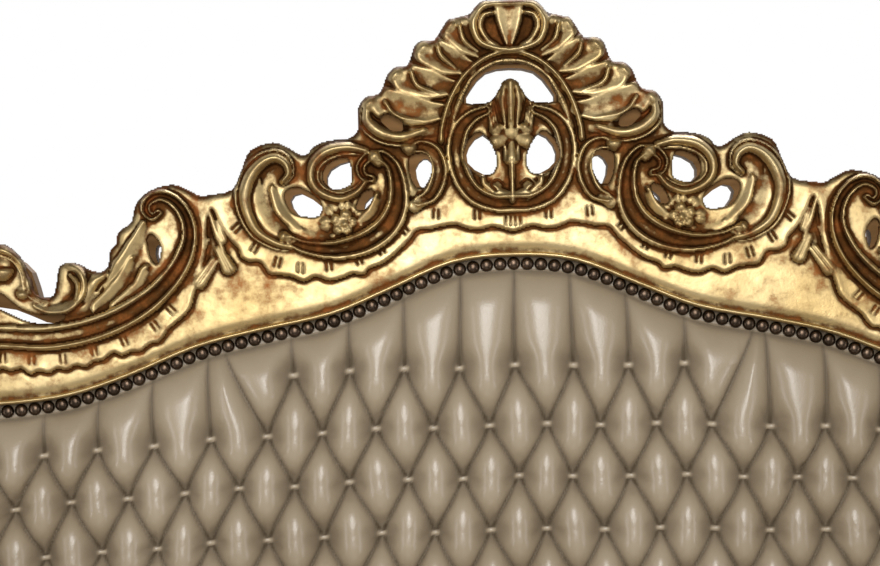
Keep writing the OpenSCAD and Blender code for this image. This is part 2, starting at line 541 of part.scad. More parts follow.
// carving of the front rail, in its front plane
apron_shares = [[0.1, 0.5], [0.16, 0.3], [0.26, 0.3], [0.34, 0.55], [0.36, 0.75], [0.32, 0.84]];
apron_out_shares = [[0.9, 0.5], [0.84, 0.3], [0.74, 0.3], [0.66, 0.55], [0.64, 0.75], [0.68, 0.84]];
module apron_carving() {
    shell_out = -sofa_d / 2 - rail_front_y;
    q = rail_h / 20;
    color(gilt) translate([0, rail_front_y, rail_bot_z]) {
        for (s = [-1, 1]) side(s) {
            strip(curve([for (p = apron_shares) [p[0] * block_in_x, p[1] * rail_h]], 2), rim_shares, q * 2, relief_h * 0.8, 0.6);
            strip(rev(curve([for (p = apron_out_shares) [p[0] * block_in_x, p[1] * rail_h]], 2)), rim_shares, q * 2, relief_h * 0.8, 0.6);
            for (i = [-2 : 2]) let (a = i * 24) lobe([block_in_x / 2 + sin(a) * q * 3, rail_h * 0.2 + cos(a) * q * 2],
                [block_in_x / 2 + sin(a) * q * 10, rail_h * 0.2 + cos(a) * q * 10], q, q * 2.2, relief_h * 0.8);
            boss([block_in_x / 2, rail_h * 0.2], q * 3, relief_h);
        }
        for (i = [-3 : 3]) let (a = i * 26) lobe([sin(a) * q * 3, rail_h / 3 + cos(a) * q * 3],
            [sin(a) * q * 11, rail_h / 3 + cos(a) * q * 10], q * 1.2, q * 2.6, relief_h);
        boss([0, rail_h / 3], q * 5, -shell_out);
    }
}

// legs: round sections from the floor up: height, stand-out and radius shares
cabriole_shares = [[0, 0.5, 0.7], [0.06, 0.6, 0.76], [0.13, 0.45, 0.58], [0.22, 0.2, 0.42], [0.34, 0.12, 0.42],
    [0.5, 0.25, 0.52], [0.66, 0.6, 0.72], [0.8, 0.95, 0.9], [0.9, 1, 0.98], [1, 0.8, 0.96]];
module cabriole(dx, dy, top_z) {
    n = len(cabriole_shares);
    m = 10;
    tall = top_z - foot_z;
    pts = [for (c = cabriole_shares) for (j = [0 : m - 1]) let (a = j * 360 / m)
        [dx * knee_out * c[1] + leg_r * c[2] * cos(a), dy * knee_out * c[1] + leg_r * c[2] * sin(a), foot_z + tall * c[0]]];
    polyhedron(pts, tube_faces(n, m));
    // carved leaf on the knee
    for (l = [[0.9, 0.56, 0.3, 0.16], [0.86, 0.74, 0.34, 0.24]]) hull() {
        for (e = [0, 1]) let (h = l[e], out = lookup(h, [for (c = cabriole_shares) [c[0], c[1] * knee_out + c[2] * leg_r * 0.86]]))
            translate([dx * out, dy * out, foot_z + tall * h]) sphere(r = leg_r * l[2 + e], $fn = 8);
    }
    // scroll of the foot
    for (k = [-1, 0, 1]) hull() for (e = [0, 1]) let (a = k * 34, ux = dx * cos(a) - dy * sin(a), uy = dx * sin(a) + dy * cos(a),
        out = knee_out * 0.5 + leg_r * (0.3 + 0.28 * e))
        translate([ux * out, uy * out, foot_z + leg_r * (0.42 - 0.1 * e)]) sphere(r = leg_r * (0.34 - 0.08 * e), $fn = 8);
}
module front_leg(s) {
    color(gilt) side(s) translate([front_leg_x, front_leg_y, 0]) {
        d = sqrt(1 / 2);
        cabriole(d, -d, rail_bot_z);
        translate([-block_w / 2, -block_w / 2, rail_bot_z]) cube([block_w, block_w, rail_h]);
        // scrolled ears beside the knee and bosses on the block
        for (k = [0, 1]) rotate([0, 0, k * -90]) mirror([k, 0, 0]) hull() {
            translate([-block_w / 3, -block_w / 4, rail_bot_z - leg_r / 2]) sphere(r = leg_r / 4, $fn = 8);
            translate([0, -block_w / 3, rail_bot_z - leg_r / 2]) sphere(r = leg_r / 3, $fn = 8);
        }
        for (z = [0.3, 0.7]) translate([0, -block_w / 2, rail_bot_z + rail_h * z]) boss([0, 0], block_w / 5, relief_h / 2);
        for (z = [0.3, 0.7]) rotate([0, 0, 90]) translate([0, -block_w / 2, rail_bot_z + rail_h * z]) boss([0, 0], block_w / 5, relief_h / 2);
    }
}
centre_leg_y = rail_front_y + leg_r * 0.8;
module front_leg_centre() {
    color(gilt) translate([0, centre_leg_y, 0]) {
        cabriole(0, -1, rail_bot_z);
        for (k = [-1, 1]) hull() {
            translate([k * leg_r, 0, rail_bot_z - leg_r / 2]) sphere(r = leg_r / 3, $fn = 8);
            translate([k * leg_r / 2, 0, rail_bot_z - leg_r / 2]) sphere(r = leg_r / 3, $fn = 8);
        }
        for (k = [-1, 1]) hull() {
            translate([k * leg_r * 0.7, -leg_r / 2, rail_bot_z - leg_r / 2]) sphere(r = leg_r / 4, $fn = 8);
            translate([k * leg_r / 2, -leg_r / 2, rail_bot_z - leg_r]) sphere(r = leg_r / 4, $fn = 8);
        }
    }
}
rear_leg_t = 44;
module rear_leg_centre() { color(gilt) side_plate(-rear_leg_t / 2, rear_leg_t) polygon(rear_leg_side); }
glide_r = 12;
module foot_glides() {
    d = knee_out / 2;
    rear_y = foot_y - rear_foot_d / 2;
    color(steel) for (p = [[front_leg_x + d * sqrt(1 / 2), front_leg_y - d * sqrt(1 / 2)],
        [-front_leg_x - d * sqrt(1 / 2), front_leg_y - d * sqrt(1 / 2)], [0, centre_leg_y - d],
        [crest_half_w - post_w / 2, rear_y], [-crest_half_w + post_w / 2, rear_y], [0, rear_y]])
        translate([p[0], p[1], 0]) cylinder(r = glide_r, h = foot_z, $fn = 32);
}

// arms
arm_x = crest_half_w - rail_t / 2;
scroll_r = 30;
// middle line of an arm: shares of the spread to the side, of the run forwards and of the drop
arm_reach = -front_leg_y + back_y;
arm_drop = 96;
arm_line_shares = [[0, -0.08, 0], [0, 0.1, 0], [0, 0.3, 0], [0, 0.5, 0], [0, 0.64, 0], [0, 0.72, 0],
    [0.2, 0.785, 0.14], [0.5, 0.855, 0.38], [0.78, 0.895, 0.66], [0.95, 0.895, 0.92], [1, 0.86, 1.02], [0.99, 0.825, 0.95]];
sofa_w = (arm_x + arm_spread + scroll_r) * 2;
function arm_pt(p) = [arm_x + arm_spread * p[0], back_at(arm_z) - (arm_reach + back_at(arm_z) - back_y) * p[1], arm_z - arm_drop * p[2]];
arm_path = curve([for (p = arm_line_shares) arm_pt(p)], 2);
arm_section_shares = [[-0.7, 1], [0.7, 1], [1, 0.5], [0.9, -0.3], [0.5, -1], [-0.5, -1], [-0.9, -0.3], [-1, 0.5]];
module arm_shape() {
    n = len(arm_path);
    m = len(arm_section_shares);
    pts = [for (i = [0 : n - 1]) let (a = arm_path[max(i - 1, 0)], b = arm_path[min(i + 1, n - 1)], d = (b - a) / norm(b - a),
        r0 = cross(d, [0, 0, 1]), r = r0 / norm(r0), u = cross(r, d), t = i / (n - 1), f = t < 0.5 ? 1 : 1 - (t - 0.5) * 0.7)
        for (q = arm_section_shares) arm_path[i] + r * q[0] * arm_w / 2 * f + u * q[1] * arm_h / 2 * f];
    difference() {
        union() {
            polyhedron(pts, tube_faces(n, m));
            // scroll at the front
            for (k = [0 : 7]) let (a = k * 45, p = arm_path[n - 1], b = arm_path[n - 3]) hull() {
                translate((p + b) / 2) sphere(r = scroll_r * 0.62, $fn = 10);
                translate((p + b) / 2 + [scroll_r * 0.3, cos(a) * scroll_r * 0.5, sin(a) * scroll_r * 0.5]) sphere(r = scroll_r * 0.34, $fn = 8);
            }
        }
        on_back() translate([0, 0, -sofa_d]) cube([sofa_w, sofa_d, sofa_d * 2]);
    }
}
module arm_rail(s) { color(gilt) side(s) arm_shape(); }
outer_t = 5;
stump_y = -140;
stump_d = 32;
// curved support in front of the upright: shares along the drop to the leg block
support_shares = [[0, 0, 0], [0.06, 0.1, 0.16], [0.2, 0.3, 0.34], [0.34, 0.62, 0.5], [0.38, 0.88, 0.72], [0.34, 1, 1]];
module arm_post(s) {
    top_z = arm_z;
    x0 = arm_x - outer_t / 2;
    line = curve([for (p = support_shares) [x0 + arm_spread * p[0], front_leg_y + (stump_y - stump_d - front_leg_y) * p[1],
        rail_top_z + (top_z - rail_top_z) * p[2]]], 2);
    r = rail_t / 2 - outer_t / 2;
    color(gilt) side(s) difference() {
        union() {
            translate([crest_half_w - rail_t, stump_y - stump_d, rail_top_z]) cube([rail_t - outer_t, stump_d, top_z - rail_top_z]);
            for (i = [0 : len(line) - 2]) hull() for (e = [0, 1]) translate(line[i + e]) sphere(r = r * (1.5 - 0.5 * sin(180 * (i + e) / (len(line) - 1))), $fn = 8);
        }
        arm_shape();
        translate([0, -sofa_d, 0]) cube([sofa_w, sofa_d * 2, rail_top_z]);
        // the outer panel starts here
        translate([crest_half_w - outer_t, stump_y - stump_d, 0]) cube(sofa_d);
    }
}
// padded arm rest: rings from the bottom up with inset and height shares
pad_ring_shares = [[0.1, 0], [0, 0.16], [0, 0.34], [0.08, 0.62], [0.28, 0.86], [0.62, 1]];
pad_t = 34;
function oval(hx, hy, r, n) = let (c = [[hx - r, hy - r], [r - hx, hy - r], [r - hx, r - hy], [hx - r, r - hy]])
    [for (k = [0 : 3]) for (i = [0 : n]) c[k] + [cos(k * 90 + i * 90 / n), sin(k * 90 + i * 90 / n)] * r];
module arm_pad(s) {
    hx = arm_w * 0.46;
    hy = arm_pad_l / 2;
    n = 5;
    pts = [for (q = pad_ring_shares) let (c = q[0] * hx) for (p = oval(hx - c, hy - c, (hx - c) * 0.96, n)) [p[0], p[1], q[1] * pad_t]];
    y0 = back_at(arm_z) - arm_reach * 0.38;
    color(hide) side(s) translate([arm_x, y0, arm_z + arm_h / 2 + gap]) polyhedron(pts, tube_faces(len(pad_ring_shares), 4 * (n + 1)));
}
inner_t = 24;
function arm_side(z0, z1, c) = [[stump_y + c, z0], [back_at(z0) - c, z0], [back_at(z1) - c, z1], [stump_y + c, z1]];
module arm_inner_panel(s) {
    z0 = rail_top_z + strap_t + gap;
    z1 = arm_z - arm_h / 2 - gap;
    x1 = crest_half_w - rail_t;
    color(hide) side(s) side_plate(x1 - inner_t, inner_t - gap) polygon([[stump_y - stump_d, z0], [back_at(z0) - gap, z0],
        [back_at(z1) - gap, z1], [stump_y - stump_d, z1]]);
}
module arm_outer_panel(s) {
    color(hide) side(s) side_plate(crest_half_w - outer_t, outer_t)
        polygon(arm_side(rail_top_z, arm_z - arm_h / 2 - gap, 0) + [[-stump_d, 0], [0, 0], [0, 0], [-stump_d, 0]]);
}
module arm_nails() {
    z = rail_top_z + nail_inset * 2;
    y0 = stump_y - stump_d + nail_inset;
    run = back_at(z) - nail_inset - y0;
    n = floor(run / nail_pitch);
    color(bronze) for (s = [-1, 1]) side(s) for (i = [0 : n])
        translate([crest_half_w, y0 + run * i / n, z]) rotate([0, 0, 90]) nail();
}

// seat
web_n = 7;
module seat_webbing() {
    step = (post_in_x - strap_w / 2 - gap) / web_n;
    color(jute) for (i = [-web_n : web_n]) translate([i * step - strap_w / 2, rail_front_y + outer_t, rail_top_z])
        cube([strap_w, back_y - rail_front_y, strap_t]);
}
deck_t = 42;
deck_half_w = crest_half_w - rail_t - inner_t - gap * 2;
// rings of a pad: inset from the outline and height shares
deck_ring_shares = [[0.02, 0], [0, 0.3], [0, 0.7], [0.03, 0.9], [0.12, 0.97], [0.4, 1]];
module pad(hx, hy, r, rings, tall, n) {
    pts = [for (q = rings) let (c = q[0] * hy) for (p = oval(hx - c, hy - c, max(r - c * r / hy, r / 4), n)) [p[0], p[1], q[1] * tall]];
    polyhedron(pts, tube_faces(len(rings), 4 * (n + 1)));
}
deck_y0 = rail_front_y + outer_t;
deck_y1 = back_at(rail_top_z + strap_t) - (puff_h - margin_y) / cos(back_rake) - gap * 2;
module seat_deck() {
    color(hide) translate([0, (deck_y0 + deck_y1) / 2, rail_top_z + strap_t + gap])
        pad(deck_half_w, (deck_y1 - deck_y0) / 2, deck_t / 2, deck_ring_shares, deck_t, 4);
}
cord_r = 4;
cushion_z = rail_top_z + strap_t + deck_t + gap * 2;
cushion_hx = deck_half_w - cord_r * 2 - gap * 2;
cushion_y1 = back_at(cushion_z) - (puff_h - margin_y) / cos(back_rake) - gap * 4 - cord_r * 2;
cushion_hy = (cushion_y1 - deck_y0 + cord_r) / 2;
cushion_y = (deck_y0 - cord_r + cushion_y1) / 2;
cushion_ring_shares = [[0.2, 0], [0.06, 0.02], [0.015, 0.07], [0, 0.14], [0.012, 0.32], [0.018, 0.5], [0.012, 0.68], [0, 0.84],
    [0.02, 0.92], [0.08, 0.97], [0.2, 1]];
crown_ring_shares = [[0.36, 0.5], [0.55, 0.8], [0.78, 1]];
module seat_cushion() {
    tall = cushion_t - cushion_crown;
    rings = concat(cushion_ring_shares, [for (q = crown_ring_shares) [q[0], 1 + q[1] * cushion_crown / tall]]);
    color(hide) translate([0, cushion_y, cushion_z]) pad(cushion_hx, cushion_hy, deck_t, rings, tall, 6);
}
module cord_ring(hx, hy, r, z) {
    base = oval(hx + cord_r, hy + cord_r, r + cord_r, 6);
    n = len(base);
    m = 5;
    pts = [for (i = [0 : n - 1]) let (a = base[(i + n - 1) % n], b = base[(i + 1) % n], d = (b - a) / norm(b - a))
        for (j = [0 : m - 1]) let (t = j * 360 / m) [base[i][0] + d[1] * cord_r * cos(t), base[i][1] - d[0] * cord_r * cos(t), z + cord_r * sin(t)]];
    polyhedron(pts, [for (i = [0 : n - 1]) for (j = [0 : m - 1]) each let (a = i * m + j, b = i * m + (j + 1) % m,
        c = ((i + 1) % n) * m + j, e = ((i + 1) % n) * m + (j + 1) % m) [[a, b, c], [b, e, c]]]);
}
module cushion_piping() {
    tall = cushion_t - cushion_crown;
    color(hide) translate([0, cushion_y, cushion_z]) for (z = [0.14, 0.84]) cord_ring(cushion_hx + gap, cushion_hy + gap, deck_t, tall * z);
}
cover_t = 1.5;
module dust_cover() {
    x1 = crest_half_w - rail_t / 2;
    y0 = rail_front_y + rail_t + gap;
    y1 = back_y + nail_inset;
    color(cloth) difference() {
        translate([-x1, y0, rail_bot_z - cover_t]) cube([x1 * 2, y1 - y0, cover_t]);
        for (s = [-1, 1]) {
            translate([s * front_leg_x, front_leg_y, rail_bot_z]) cube(block_w + nail_inset, center = true);
            translate([s * (crest_half_w - post_w / 2), back_y, rail_bot_z]) cube(post_w + nail_inset, center = true);
        }
        for (y = [centre_leg_y, back_y + rail_t / 2])
            translate([0, y, rail_bot_z]) cube([leg_r * 4, leg_r * 2 + nail_inset, block_w], center = true);
    }
}

crest_rail();
crest_border();
crest_lip();
crest_shell();
crest_medallion();
crest_finial();
crest_side_loops();
cup_scroll(-1);  // cup_scroll_left
cup_scroll(1);  // cup_scroll_right
rosette(-1);  // rosette_left
rosette(1);  // rosette_right
shoulder_scroll(-1);  // shoulder_scroll_left
shoulder_scroll(1);  // shoulder_scroll_right
crest_dowels();
back_post(-1);  // back_post_left
back_post(1);  // back_post_right
lower_back_rail();
back_upright();
back_webbing();
tufted_back();
back_nails();
outside_back_panel();
seat_rail_front();
seat_rail_rear();
seat_rail_side(-1);  // seat_rail_left
seat_rail_side(1);  // seat_rail_right
seat_brace();
corner_blocks();
block_screws();
apron_carving();
front_leg(-1);  // front_leg_left
front_leg(1);  // front_leg_right
front_leg_centre();
rear_leg_centre();
foot_glides();
arm_rail(-1);  // arm_rail_left
arm_rail(1);  // arm_rail_right
arm_post(-1);  // arm_post_left
arm_post(1);  // arm_post_right
arm_pad(-1);  // arm_pad_left
arm_pad(1);  // arm_pad_right
arm_inner_panel(-1);  // arm_inner_panel_left
arm_inner_panel(1);  // arm_inner_panel_right
arm_outer_panel(-1);  // arm_outer_panel_left
arm_outer_panel(1);  // arm_outer_panel_right
arm_nails();
seat_webbing();
seat_deck();
seat_cushion();
cushion_piping();
dust_cover();
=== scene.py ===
# %% [markdown]
# # A gilt sofa with a pierced crest
# The sofa has a carved and gilded frame, a tufted leather back with a line of nails, padded
# arms and one loose seat cushion. Its solids come in as a fixed frame of named nodes, each at
# its real size and place. Modelling all of it anew would let it drift from those sizes, so
# each cell dresses the frame instead: a piece takes its place from the node it stands for.

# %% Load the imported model
import bmesh, bpy, math
import numpy as np
from mathutils import Matrix, Vector
from mathutils.geometry import delaunay_2d_cdt

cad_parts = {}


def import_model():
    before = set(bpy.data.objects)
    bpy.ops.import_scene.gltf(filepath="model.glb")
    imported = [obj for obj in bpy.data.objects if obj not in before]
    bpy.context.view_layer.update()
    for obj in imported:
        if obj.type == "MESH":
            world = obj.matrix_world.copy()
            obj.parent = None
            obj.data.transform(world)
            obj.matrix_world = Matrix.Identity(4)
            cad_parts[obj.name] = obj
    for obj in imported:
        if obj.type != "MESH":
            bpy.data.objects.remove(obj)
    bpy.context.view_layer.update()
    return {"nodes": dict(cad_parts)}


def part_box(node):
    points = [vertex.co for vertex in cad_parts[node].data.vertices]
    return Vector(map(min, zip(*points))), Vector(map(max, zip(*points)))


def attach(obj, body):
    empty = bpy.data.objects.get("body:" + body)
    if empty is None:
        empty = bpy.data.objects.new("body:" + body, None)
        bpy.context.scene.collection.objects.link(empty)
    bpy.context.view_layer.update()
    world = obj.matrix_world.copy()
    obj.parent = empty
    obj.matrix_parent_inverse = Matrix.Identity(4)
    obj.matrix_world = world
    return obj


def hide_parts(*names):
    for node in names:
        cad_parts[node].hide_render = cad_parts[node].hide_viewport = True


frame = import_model()
nodes = frame["nodes"]

# %% [markdown]
# ## The plane of the back
# A sofa's back leans, and its crest is sawn from one board in that leaning plane. The carving
# could be modelled upright and then tilted, but every nail and tuft would need the same tilt.
# So all of it is drawn flat, in the units of a front view whose centre line is at x 508, and
# two functions carry a drawn point into the room.

# %% From the drawing to the room
RAKE = math.radians(12)
SIN, COS = math.sin(RAKE), math.cos(RAKE)
BOARD, RAIL_TOP = 0.034, 0.3
MIDDLE, HALF_DRAWN = 508, 698
OUT = np.array([0, -COS, SIN])
crest_high = np.array(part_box("crest_rail")[1])
HALF = crest_high[0]
UNIT = HALF / HALF_DRAWN
TOP_W = (crest_high[2] - RAIL_TOP) / COS
BACK_Y = crest_high[1] - BOARD * COS - TOP_W * SIN
# the drawing was read from a picture that leans by this much about the top of the centre line
LEAN = 0.022
LEAN_COS, LEAN_SIN = math.cos(LEAN), math.sin(LEAN)


def upright(points):
    """Drawing points turned by the lean about (508, 0), so that the centre line stands upright."""
    p = np.array(points, float)
    x, y = p[..., 0] - MIDDLE, p[..., 1]
    return np.stack([MIDDLE + x * LEAN_COS - y * LEAN_SIN, y * LEAN_COS + x * LEAN_SIN], -1)


def slope(x, w, out):
    """Point of the back's plane to room, all in metres: x across, w up the slope from the
    rails, out in front of the board. y = start - out cos + w sin, z = rail + out sin + w cos."""
    y, z = BACK_Y - out * COS + w * SIN, RAIL_TOP + out * SIN + w * COS
    return np.stack(np.broadcast_arrays(x, y, z), -1)


def world(px, py, out):
    """Upright drawing point to room: x = (px - 508) units, w = top - py units."""
    return slope((np.asarray(px) - MIDDLE) * UNIT, TOP_W - np.asarray(py) * UNIT, out)


print("back plane starts at y", round(float(BACK_Y), 4), "unit", round(float(UNIT) * 1000, 4), "mm")

# %% [markdown]
# ## Curves on the drawing
# Every carved limb follows a line that a carver would draw freehand. A Blender curve object
# could hold it, but the field below needs the distance from each grid point to that line, so
# the lines are plain arrays: a curve through a few points, a test for what lies inside an
# outline, and a measure of how far off and on which side a point lies.

# %% Spline, outline and distance
def spline(points, n=8, closed=False):
    """A Catmull-Rom curve: each span is the cubic through two points whose slope at each is half
    the step between its neighbours, taken at n places."""
    p = np.array(points, float)
    if closed:
        q = np.vstack([p[-1], p, p[0], p[1]])
    else:
        q = np.vstack([2 * p[0] - p[1], p, 2 * p[-1] - p[-2]])
    t = np.linspace(0, 1, n, endpoint=False)[None, :, None]
    a, b, c, d = [q[i:len(q) - 3 + i][:, None, :] for i in range(4)]
    s = (2 * b + (c - a) * t + (2 * a - 5 * b + 4 * c - d) * t ** 2 + (3 * b - a - 3 * c + d) * t ** 3) / 2
    s = s.reshape(-1, p.shape[1])
    return s if closed else np.vstack([s, p[-1]])


def inside(outline, x, y):
    """True where a ray from the point crosses the closed outline an odd number of times."""
    a = np.asarray(outline, float)
    hit = np.zeros(x.shape, bool)
    for (x0, y0), (x1, y1) in zip(a, np.roll(a, -1, 0)):
        if y0 != y1:
            hit ^= ((y0 > y) != (y1 > y)) & (x < (x1 - x0) * (y - y0) / (y1 - y0) + x0)
    return hit


def nearest(path, x, y):
    """The least distance to the straight pieces of a path, the share of its length there, and
    the side as a sign: plus is right of travel on the drawing."""
    path = np.asarray(path, float)
    seg = np.diff(path, axis=0)
    length = np.hypot(*seg.T)
    start = np.concatenate([[0], np.cumsum(length)])
    best = np.full(x.shape, 1e9)
    share, side = np.zeros(x.shape), np.ones(x.shape)
    for i, (dx, dy) in enumerate(seg):
        if length[i] < 1e-9:
            continue
        rx, ry = x - path[i, 0], y - path[i, 1]
        t = np.clip((rx * dx + ry * dy) / length[i] ** 2, 0, 1)
        d = np.hypot(rx - t * dx, ry - t * dy)
        near = d < best
        best = np.where(near, d, best)
        share = np.where(near, (start[i] + t * length[i]) / start[-1], share)
        side = np.where(near, np.sign(dx * ry - dy * rx), side)
    return best, share, side


square = spline([(0, 0), (1, 0), (1, 1), (0, 1)], 4, True)
print("curve points", len(square))

# %% [markdown]
# ## The carving as one height field
# The carver works from the front, so nearly all of the relief is one height above the board
# at each place. It could be sculpted by hand or built limb by limb from swept curves, whose
# crossings then clash. A field of heights on a grid avoids that: each limb is laid down where
# it is higher than what is there, so limbs merge as they do in wood. The section of a limb is
# a function of t, which runs from -1 at one edge to 1 at the other.

# %% Grid and sections
STEP = 1.25
grid_x = np.arange(-192, MIDDLE + STEP / 2, STEP)
grid_x += MIDDLE - grid_x[-1]
grid_y = np.arange(-3, 459, STEP)
X, Y = np.meshgrid(grid_x, grid_y)
H = np.zeros_like(X)


def bead(t):
    """A half round: the square root of 1 - t squared."""
    return np.sqrt(np.clip(1 - t * t, 0, 1))


def rim(t):
    """A C-scroll: the highest of a roll at the outer edge, a channel that rises with t squared,
    and a lower roll at the inner edge."""
    return np.maximum(np.maximum(bead((t - 0.72) / 0.28), 0.74 * bead((t + 0.72) / 0.28)), 0.26 + 0.5 * t * t)


def ribbon(t):
    """A broad half round with a narrow lower one beside it, so that a groove parts them."""
    return np.maximum(bead((t - 0.18) / 0.82), 0.72 * bead((t + 0.82) / 0.2))


def tilt(t):
    """A leaf: a sine's slope from a low edge to a high one, times the root of 1 - t to the 7th."""
    return (0.58 + 0.4 * np.sin(t * np.pi / 2.4)) * (1 - np.abs(t) ** 7) ** 0.5


def scoop(t):
    """A shell's lobe: higher with t squared, times the root of 1 - t to the 9th."""
    return (0.6 + 0.4 * t * t) * (1 - np.abs(t) ** 9) ** 0.5


print("grid", X.shape, "of", STEP, "drawing units")

# %% [markdown]
# ## The carver's cuts
# Three kinds of cut make all of the ornament: a limb along a path, a groove sunk along a path,
# and a teardrop leaf between two points. Each touches only the window of the grid that it can
# reach, which keeps hundreds of cuts quick.

# %% Limb, groove and leaf
def window(path, reach):
    """The rows and columns of the grid within reach of the path, as slices."""
    low, high = np.min(path, 0) - reach, np.max(path, 0) + reach
    return slice(*np.searchsorted(grid_y, [low[1], high[1]])), slice(*np.searchsorted(grid_x, [low[0], high[0]]))


def limb(points, half, tall, section=bead, base=0.0, flip=1, n=8, turned=False):
    """Raises the field to base + tall * section(t), t being the signed distance over the half
    width. half, tall and base may be tables along the path, and flip turns the section over."""
    path = spline(points if turned else upright(points), n)
    i, j = window(path, np.max(half) + 1)
    d, share, side = nearest(path, X[i, j], Y[i, j])
    # a table is read at the point's share of the path, and a single number is kept
    along = lambda v: np.interp(share, np.linspace(0, 1, len(v)), v) if np.ndim(v) else v
    t = flip * side * d / np.maximum(along(half), 0.01)
    h = along(base) + along(tall) * section(np.clip(t, -1, 1))
    H[i, j] = np.where(np.abs(t) < 1, np.maximum(H[i, j], h), H[i, j])


def groove(points, half, deep, n=6, turned=False):
    """Lowers the field by a half round: deep * bead(distance over half width)."""
    path = spline(points if turned else upright(points), n)
    i, j = window(path, half + 1)
    d, _, _ = nearest(path, X[i, j], Y[i, j])
    H[i, j] -= deep * bead(np.clip(d / half, 0, 1)) * (d < half)


def leaf(root, tip, root_r, tip_r, tall, base=0.0, vein=0.0, turned=False):
    """A teardrop from root to round tip: the radius grows evenly, the height is half to all of
    tall times a half round to the power 0.8, and a vein is sunk along the middle."""
    a, b = np.array([root, tip], float) if turned else upright([root, tip])
    i, j = window(np.array([a, b]), max(root_r, tip_r) + 1)
    v = b - a
    t = ((X[i, j] - a[0]) * v[0] + (Y[i, j] - a[1]) * v[1]) / (v @ v)
    off = np.abs((X[i, j] - a[0]) * v[1] - (Y[i, j] - a[1]) * v[0]) / np.hypot(*v)
    t = np.clip(t, 0, 1)
    d = np.hypot(X[i, j] - a[0] - t * v[0], Y[i, j] - a[1] - t * v[1])
    r = root_r + (tip_r - root_r) * t
    h = base + tall * (0.5 + 0.5 * t) * bead(np.clip(d / r, 0, 1)) ** 0.8 - vein * np.clip(1 - off / 1.6, 0, 1)
    H[i, j] = np.where(d < r, np.maximum(H[i, j], h), H[i, j])


def limbs(rows):
    """A limb for each row: points, half width, height, section, base and, if given, flip."""
    for row in rows:
        limb(*row)


def leaves(rows):
    """A leaf for each row: root, tip, the radius at each, height, base and, if given, vein."""
    for row in rows:
        leaf(*row)


# the shoulder group repeats about a line of its own, at x -22
SHOULDER_MIDDLE = -22


def both(points):
    """The points turned upright, and their mirror image about the shoulder's middle."""
    p = upright(points)
    m = p.copy()
    m[:, 0] = 2 * SHOULDER_MIDDLE - m[:, 0]
    return [(p, 1), (m, -1)]


print("the shoulder group repeats about x", SHOULDER_MIDDLE)

# %% [markdown]
# ## The field, the cove and the ruffled band
# Below the scrolls lies a plain burnished field that ends in a cove beside the lip. Over it
# hangs a ruffled band: a thin raised sheet with a wavy edge and pairs of short notches, which
# imitates gathered cloth. It could be a separate mesh, but its edge has to melt into the
# field, so it is the field's own height, chosen by which side of the wavy line a point is on.

# %% Field, band and notches
nail_path = spline([(-192, 402), (-132, 402), (-60, 402), (4, 400), (62, 393), (120, 375), (188, 348), (250, 333),
    (324, 318), (382, 295), (446, 269), (508, 263), (570, 269)], 4)[:-4]
POST_X = -131
lip_y = np.where(grid_x > POST_X, np.interp(grid_x, nail_path[:, 0], nail_path[:, 1]) - 8.5, 470)
above_lip = lip_y[None, :] - Y
H[:] = 5.5 - 3.2 * np.exp(-((above_lip - 3.5) / 5.5) ** 2)

wavy = upright([(0, 371), (18, 370), (33.5, 373), (54, 371), (71, 368), (94, 364), (112, 355), (134, 353),
    (161, 340), (174, 326), (190, 311), (196, 293), (203, 272), (207, 250), (208, 225), (212, 210), (220, 225),
    (229, 239), (238, 248), (241, 257), (249, 262), (261, 263), (269, 274), (281, 275.5), (292, 277), (304, 281.6),
    (316, 277), (330, 281), (343, 278), (353, 274), (364, 275), (370, 269), (384, 263), (397.5, 252.5), (410, 240),
    (417.5, 231), (430, 229.5), (440, 227), (455, 225), (468, 229), (480, 230), (494, 227), (512, 232)])
far_side = wavy[:15][::-1] * [-1, 1] + [2 * SHOULDER_MIDDLE, 0]
edge = spline(np.vstack([far_side[far_side[:, 0] > -190], wavy[1:-1], [(MIDDLE, 232)]]), 6)
edge[:, 1] += np.where(edge[:, 0] < 165, 1.7 * np.sin(edge[:, 0] * 2 * np.pi / 18.5), 0)
above_edge = [(530, edge[-1, 1]), (530, -50), (-260, -50)]
band = inside(np.vstack([[(-260, edge[0, 1])], edge, above_edge]), X, Y)
d, _, _ = nearest(edge, X, Y)
band_height = 9.3 + 0.45 * np.exp(-((d - 4) / 3.5) ** 2) - 2.2 * np.clip(1 - d / 2.4, 0, 1)
H = np.where(band, band_height, H - 1.7 * np.exp(-(d / 2.8) ** 2))

NOTCH_GAP, NOTCH_HALF = 2.4, 3.8
for x, y, dx, dy in [(237, 228, -.7, .7), (255, 248, -.5, .85), (278, 262, -.25, 1), (301, 268, -.05, 1),
        (329, 266, .1, 1), (359, 260, .3, .95), (381, 250, .5, .85), (404, 230, .75, .65), (436, 214, -.1, 1),
        (477, 215, 0, 1), (508, 221, 0, 1), (172, 310, .7, .7), (156, 326, .6, .8), (125, 341, .4, .9),
        (95, 351, .25, 1), (64, 359, .1, 1), (33, 360, 0, 1), (4, 358, 0, 1)]:
    for k in (-NOTCH_GAP, NOTCH_GAP):
        mark = [(x - dy * k - dx * NOTCH_HALF, y + dx * k - dy * NOTCH_HALF),
            (x - dy * k + dx * NOTCH_HALF, y + dx * k + dy * NOTCH_HALF)]
        for g, _ in both(mark)[:2 if x < 106 else 1]:
            groove(g, 1.4, 1.3 if x < 200 else 1.9, 1, turned=True)
print("band covers", round(float(band.mean()), 3), "of the drawing")

# %% [markdown]
# ## The cup scroll
# Beside the crown stands a cup made of two C-scrolls: a ribbon on its left, a hollow rimmed
# limb on its right that curls into a volute, a loop above them, leaves in the bowl, and a
# rosette of low petals. A spray of leaves hangs beside it. Each is a limb with its own
# section and with widths and heights that swell and taper along the path.

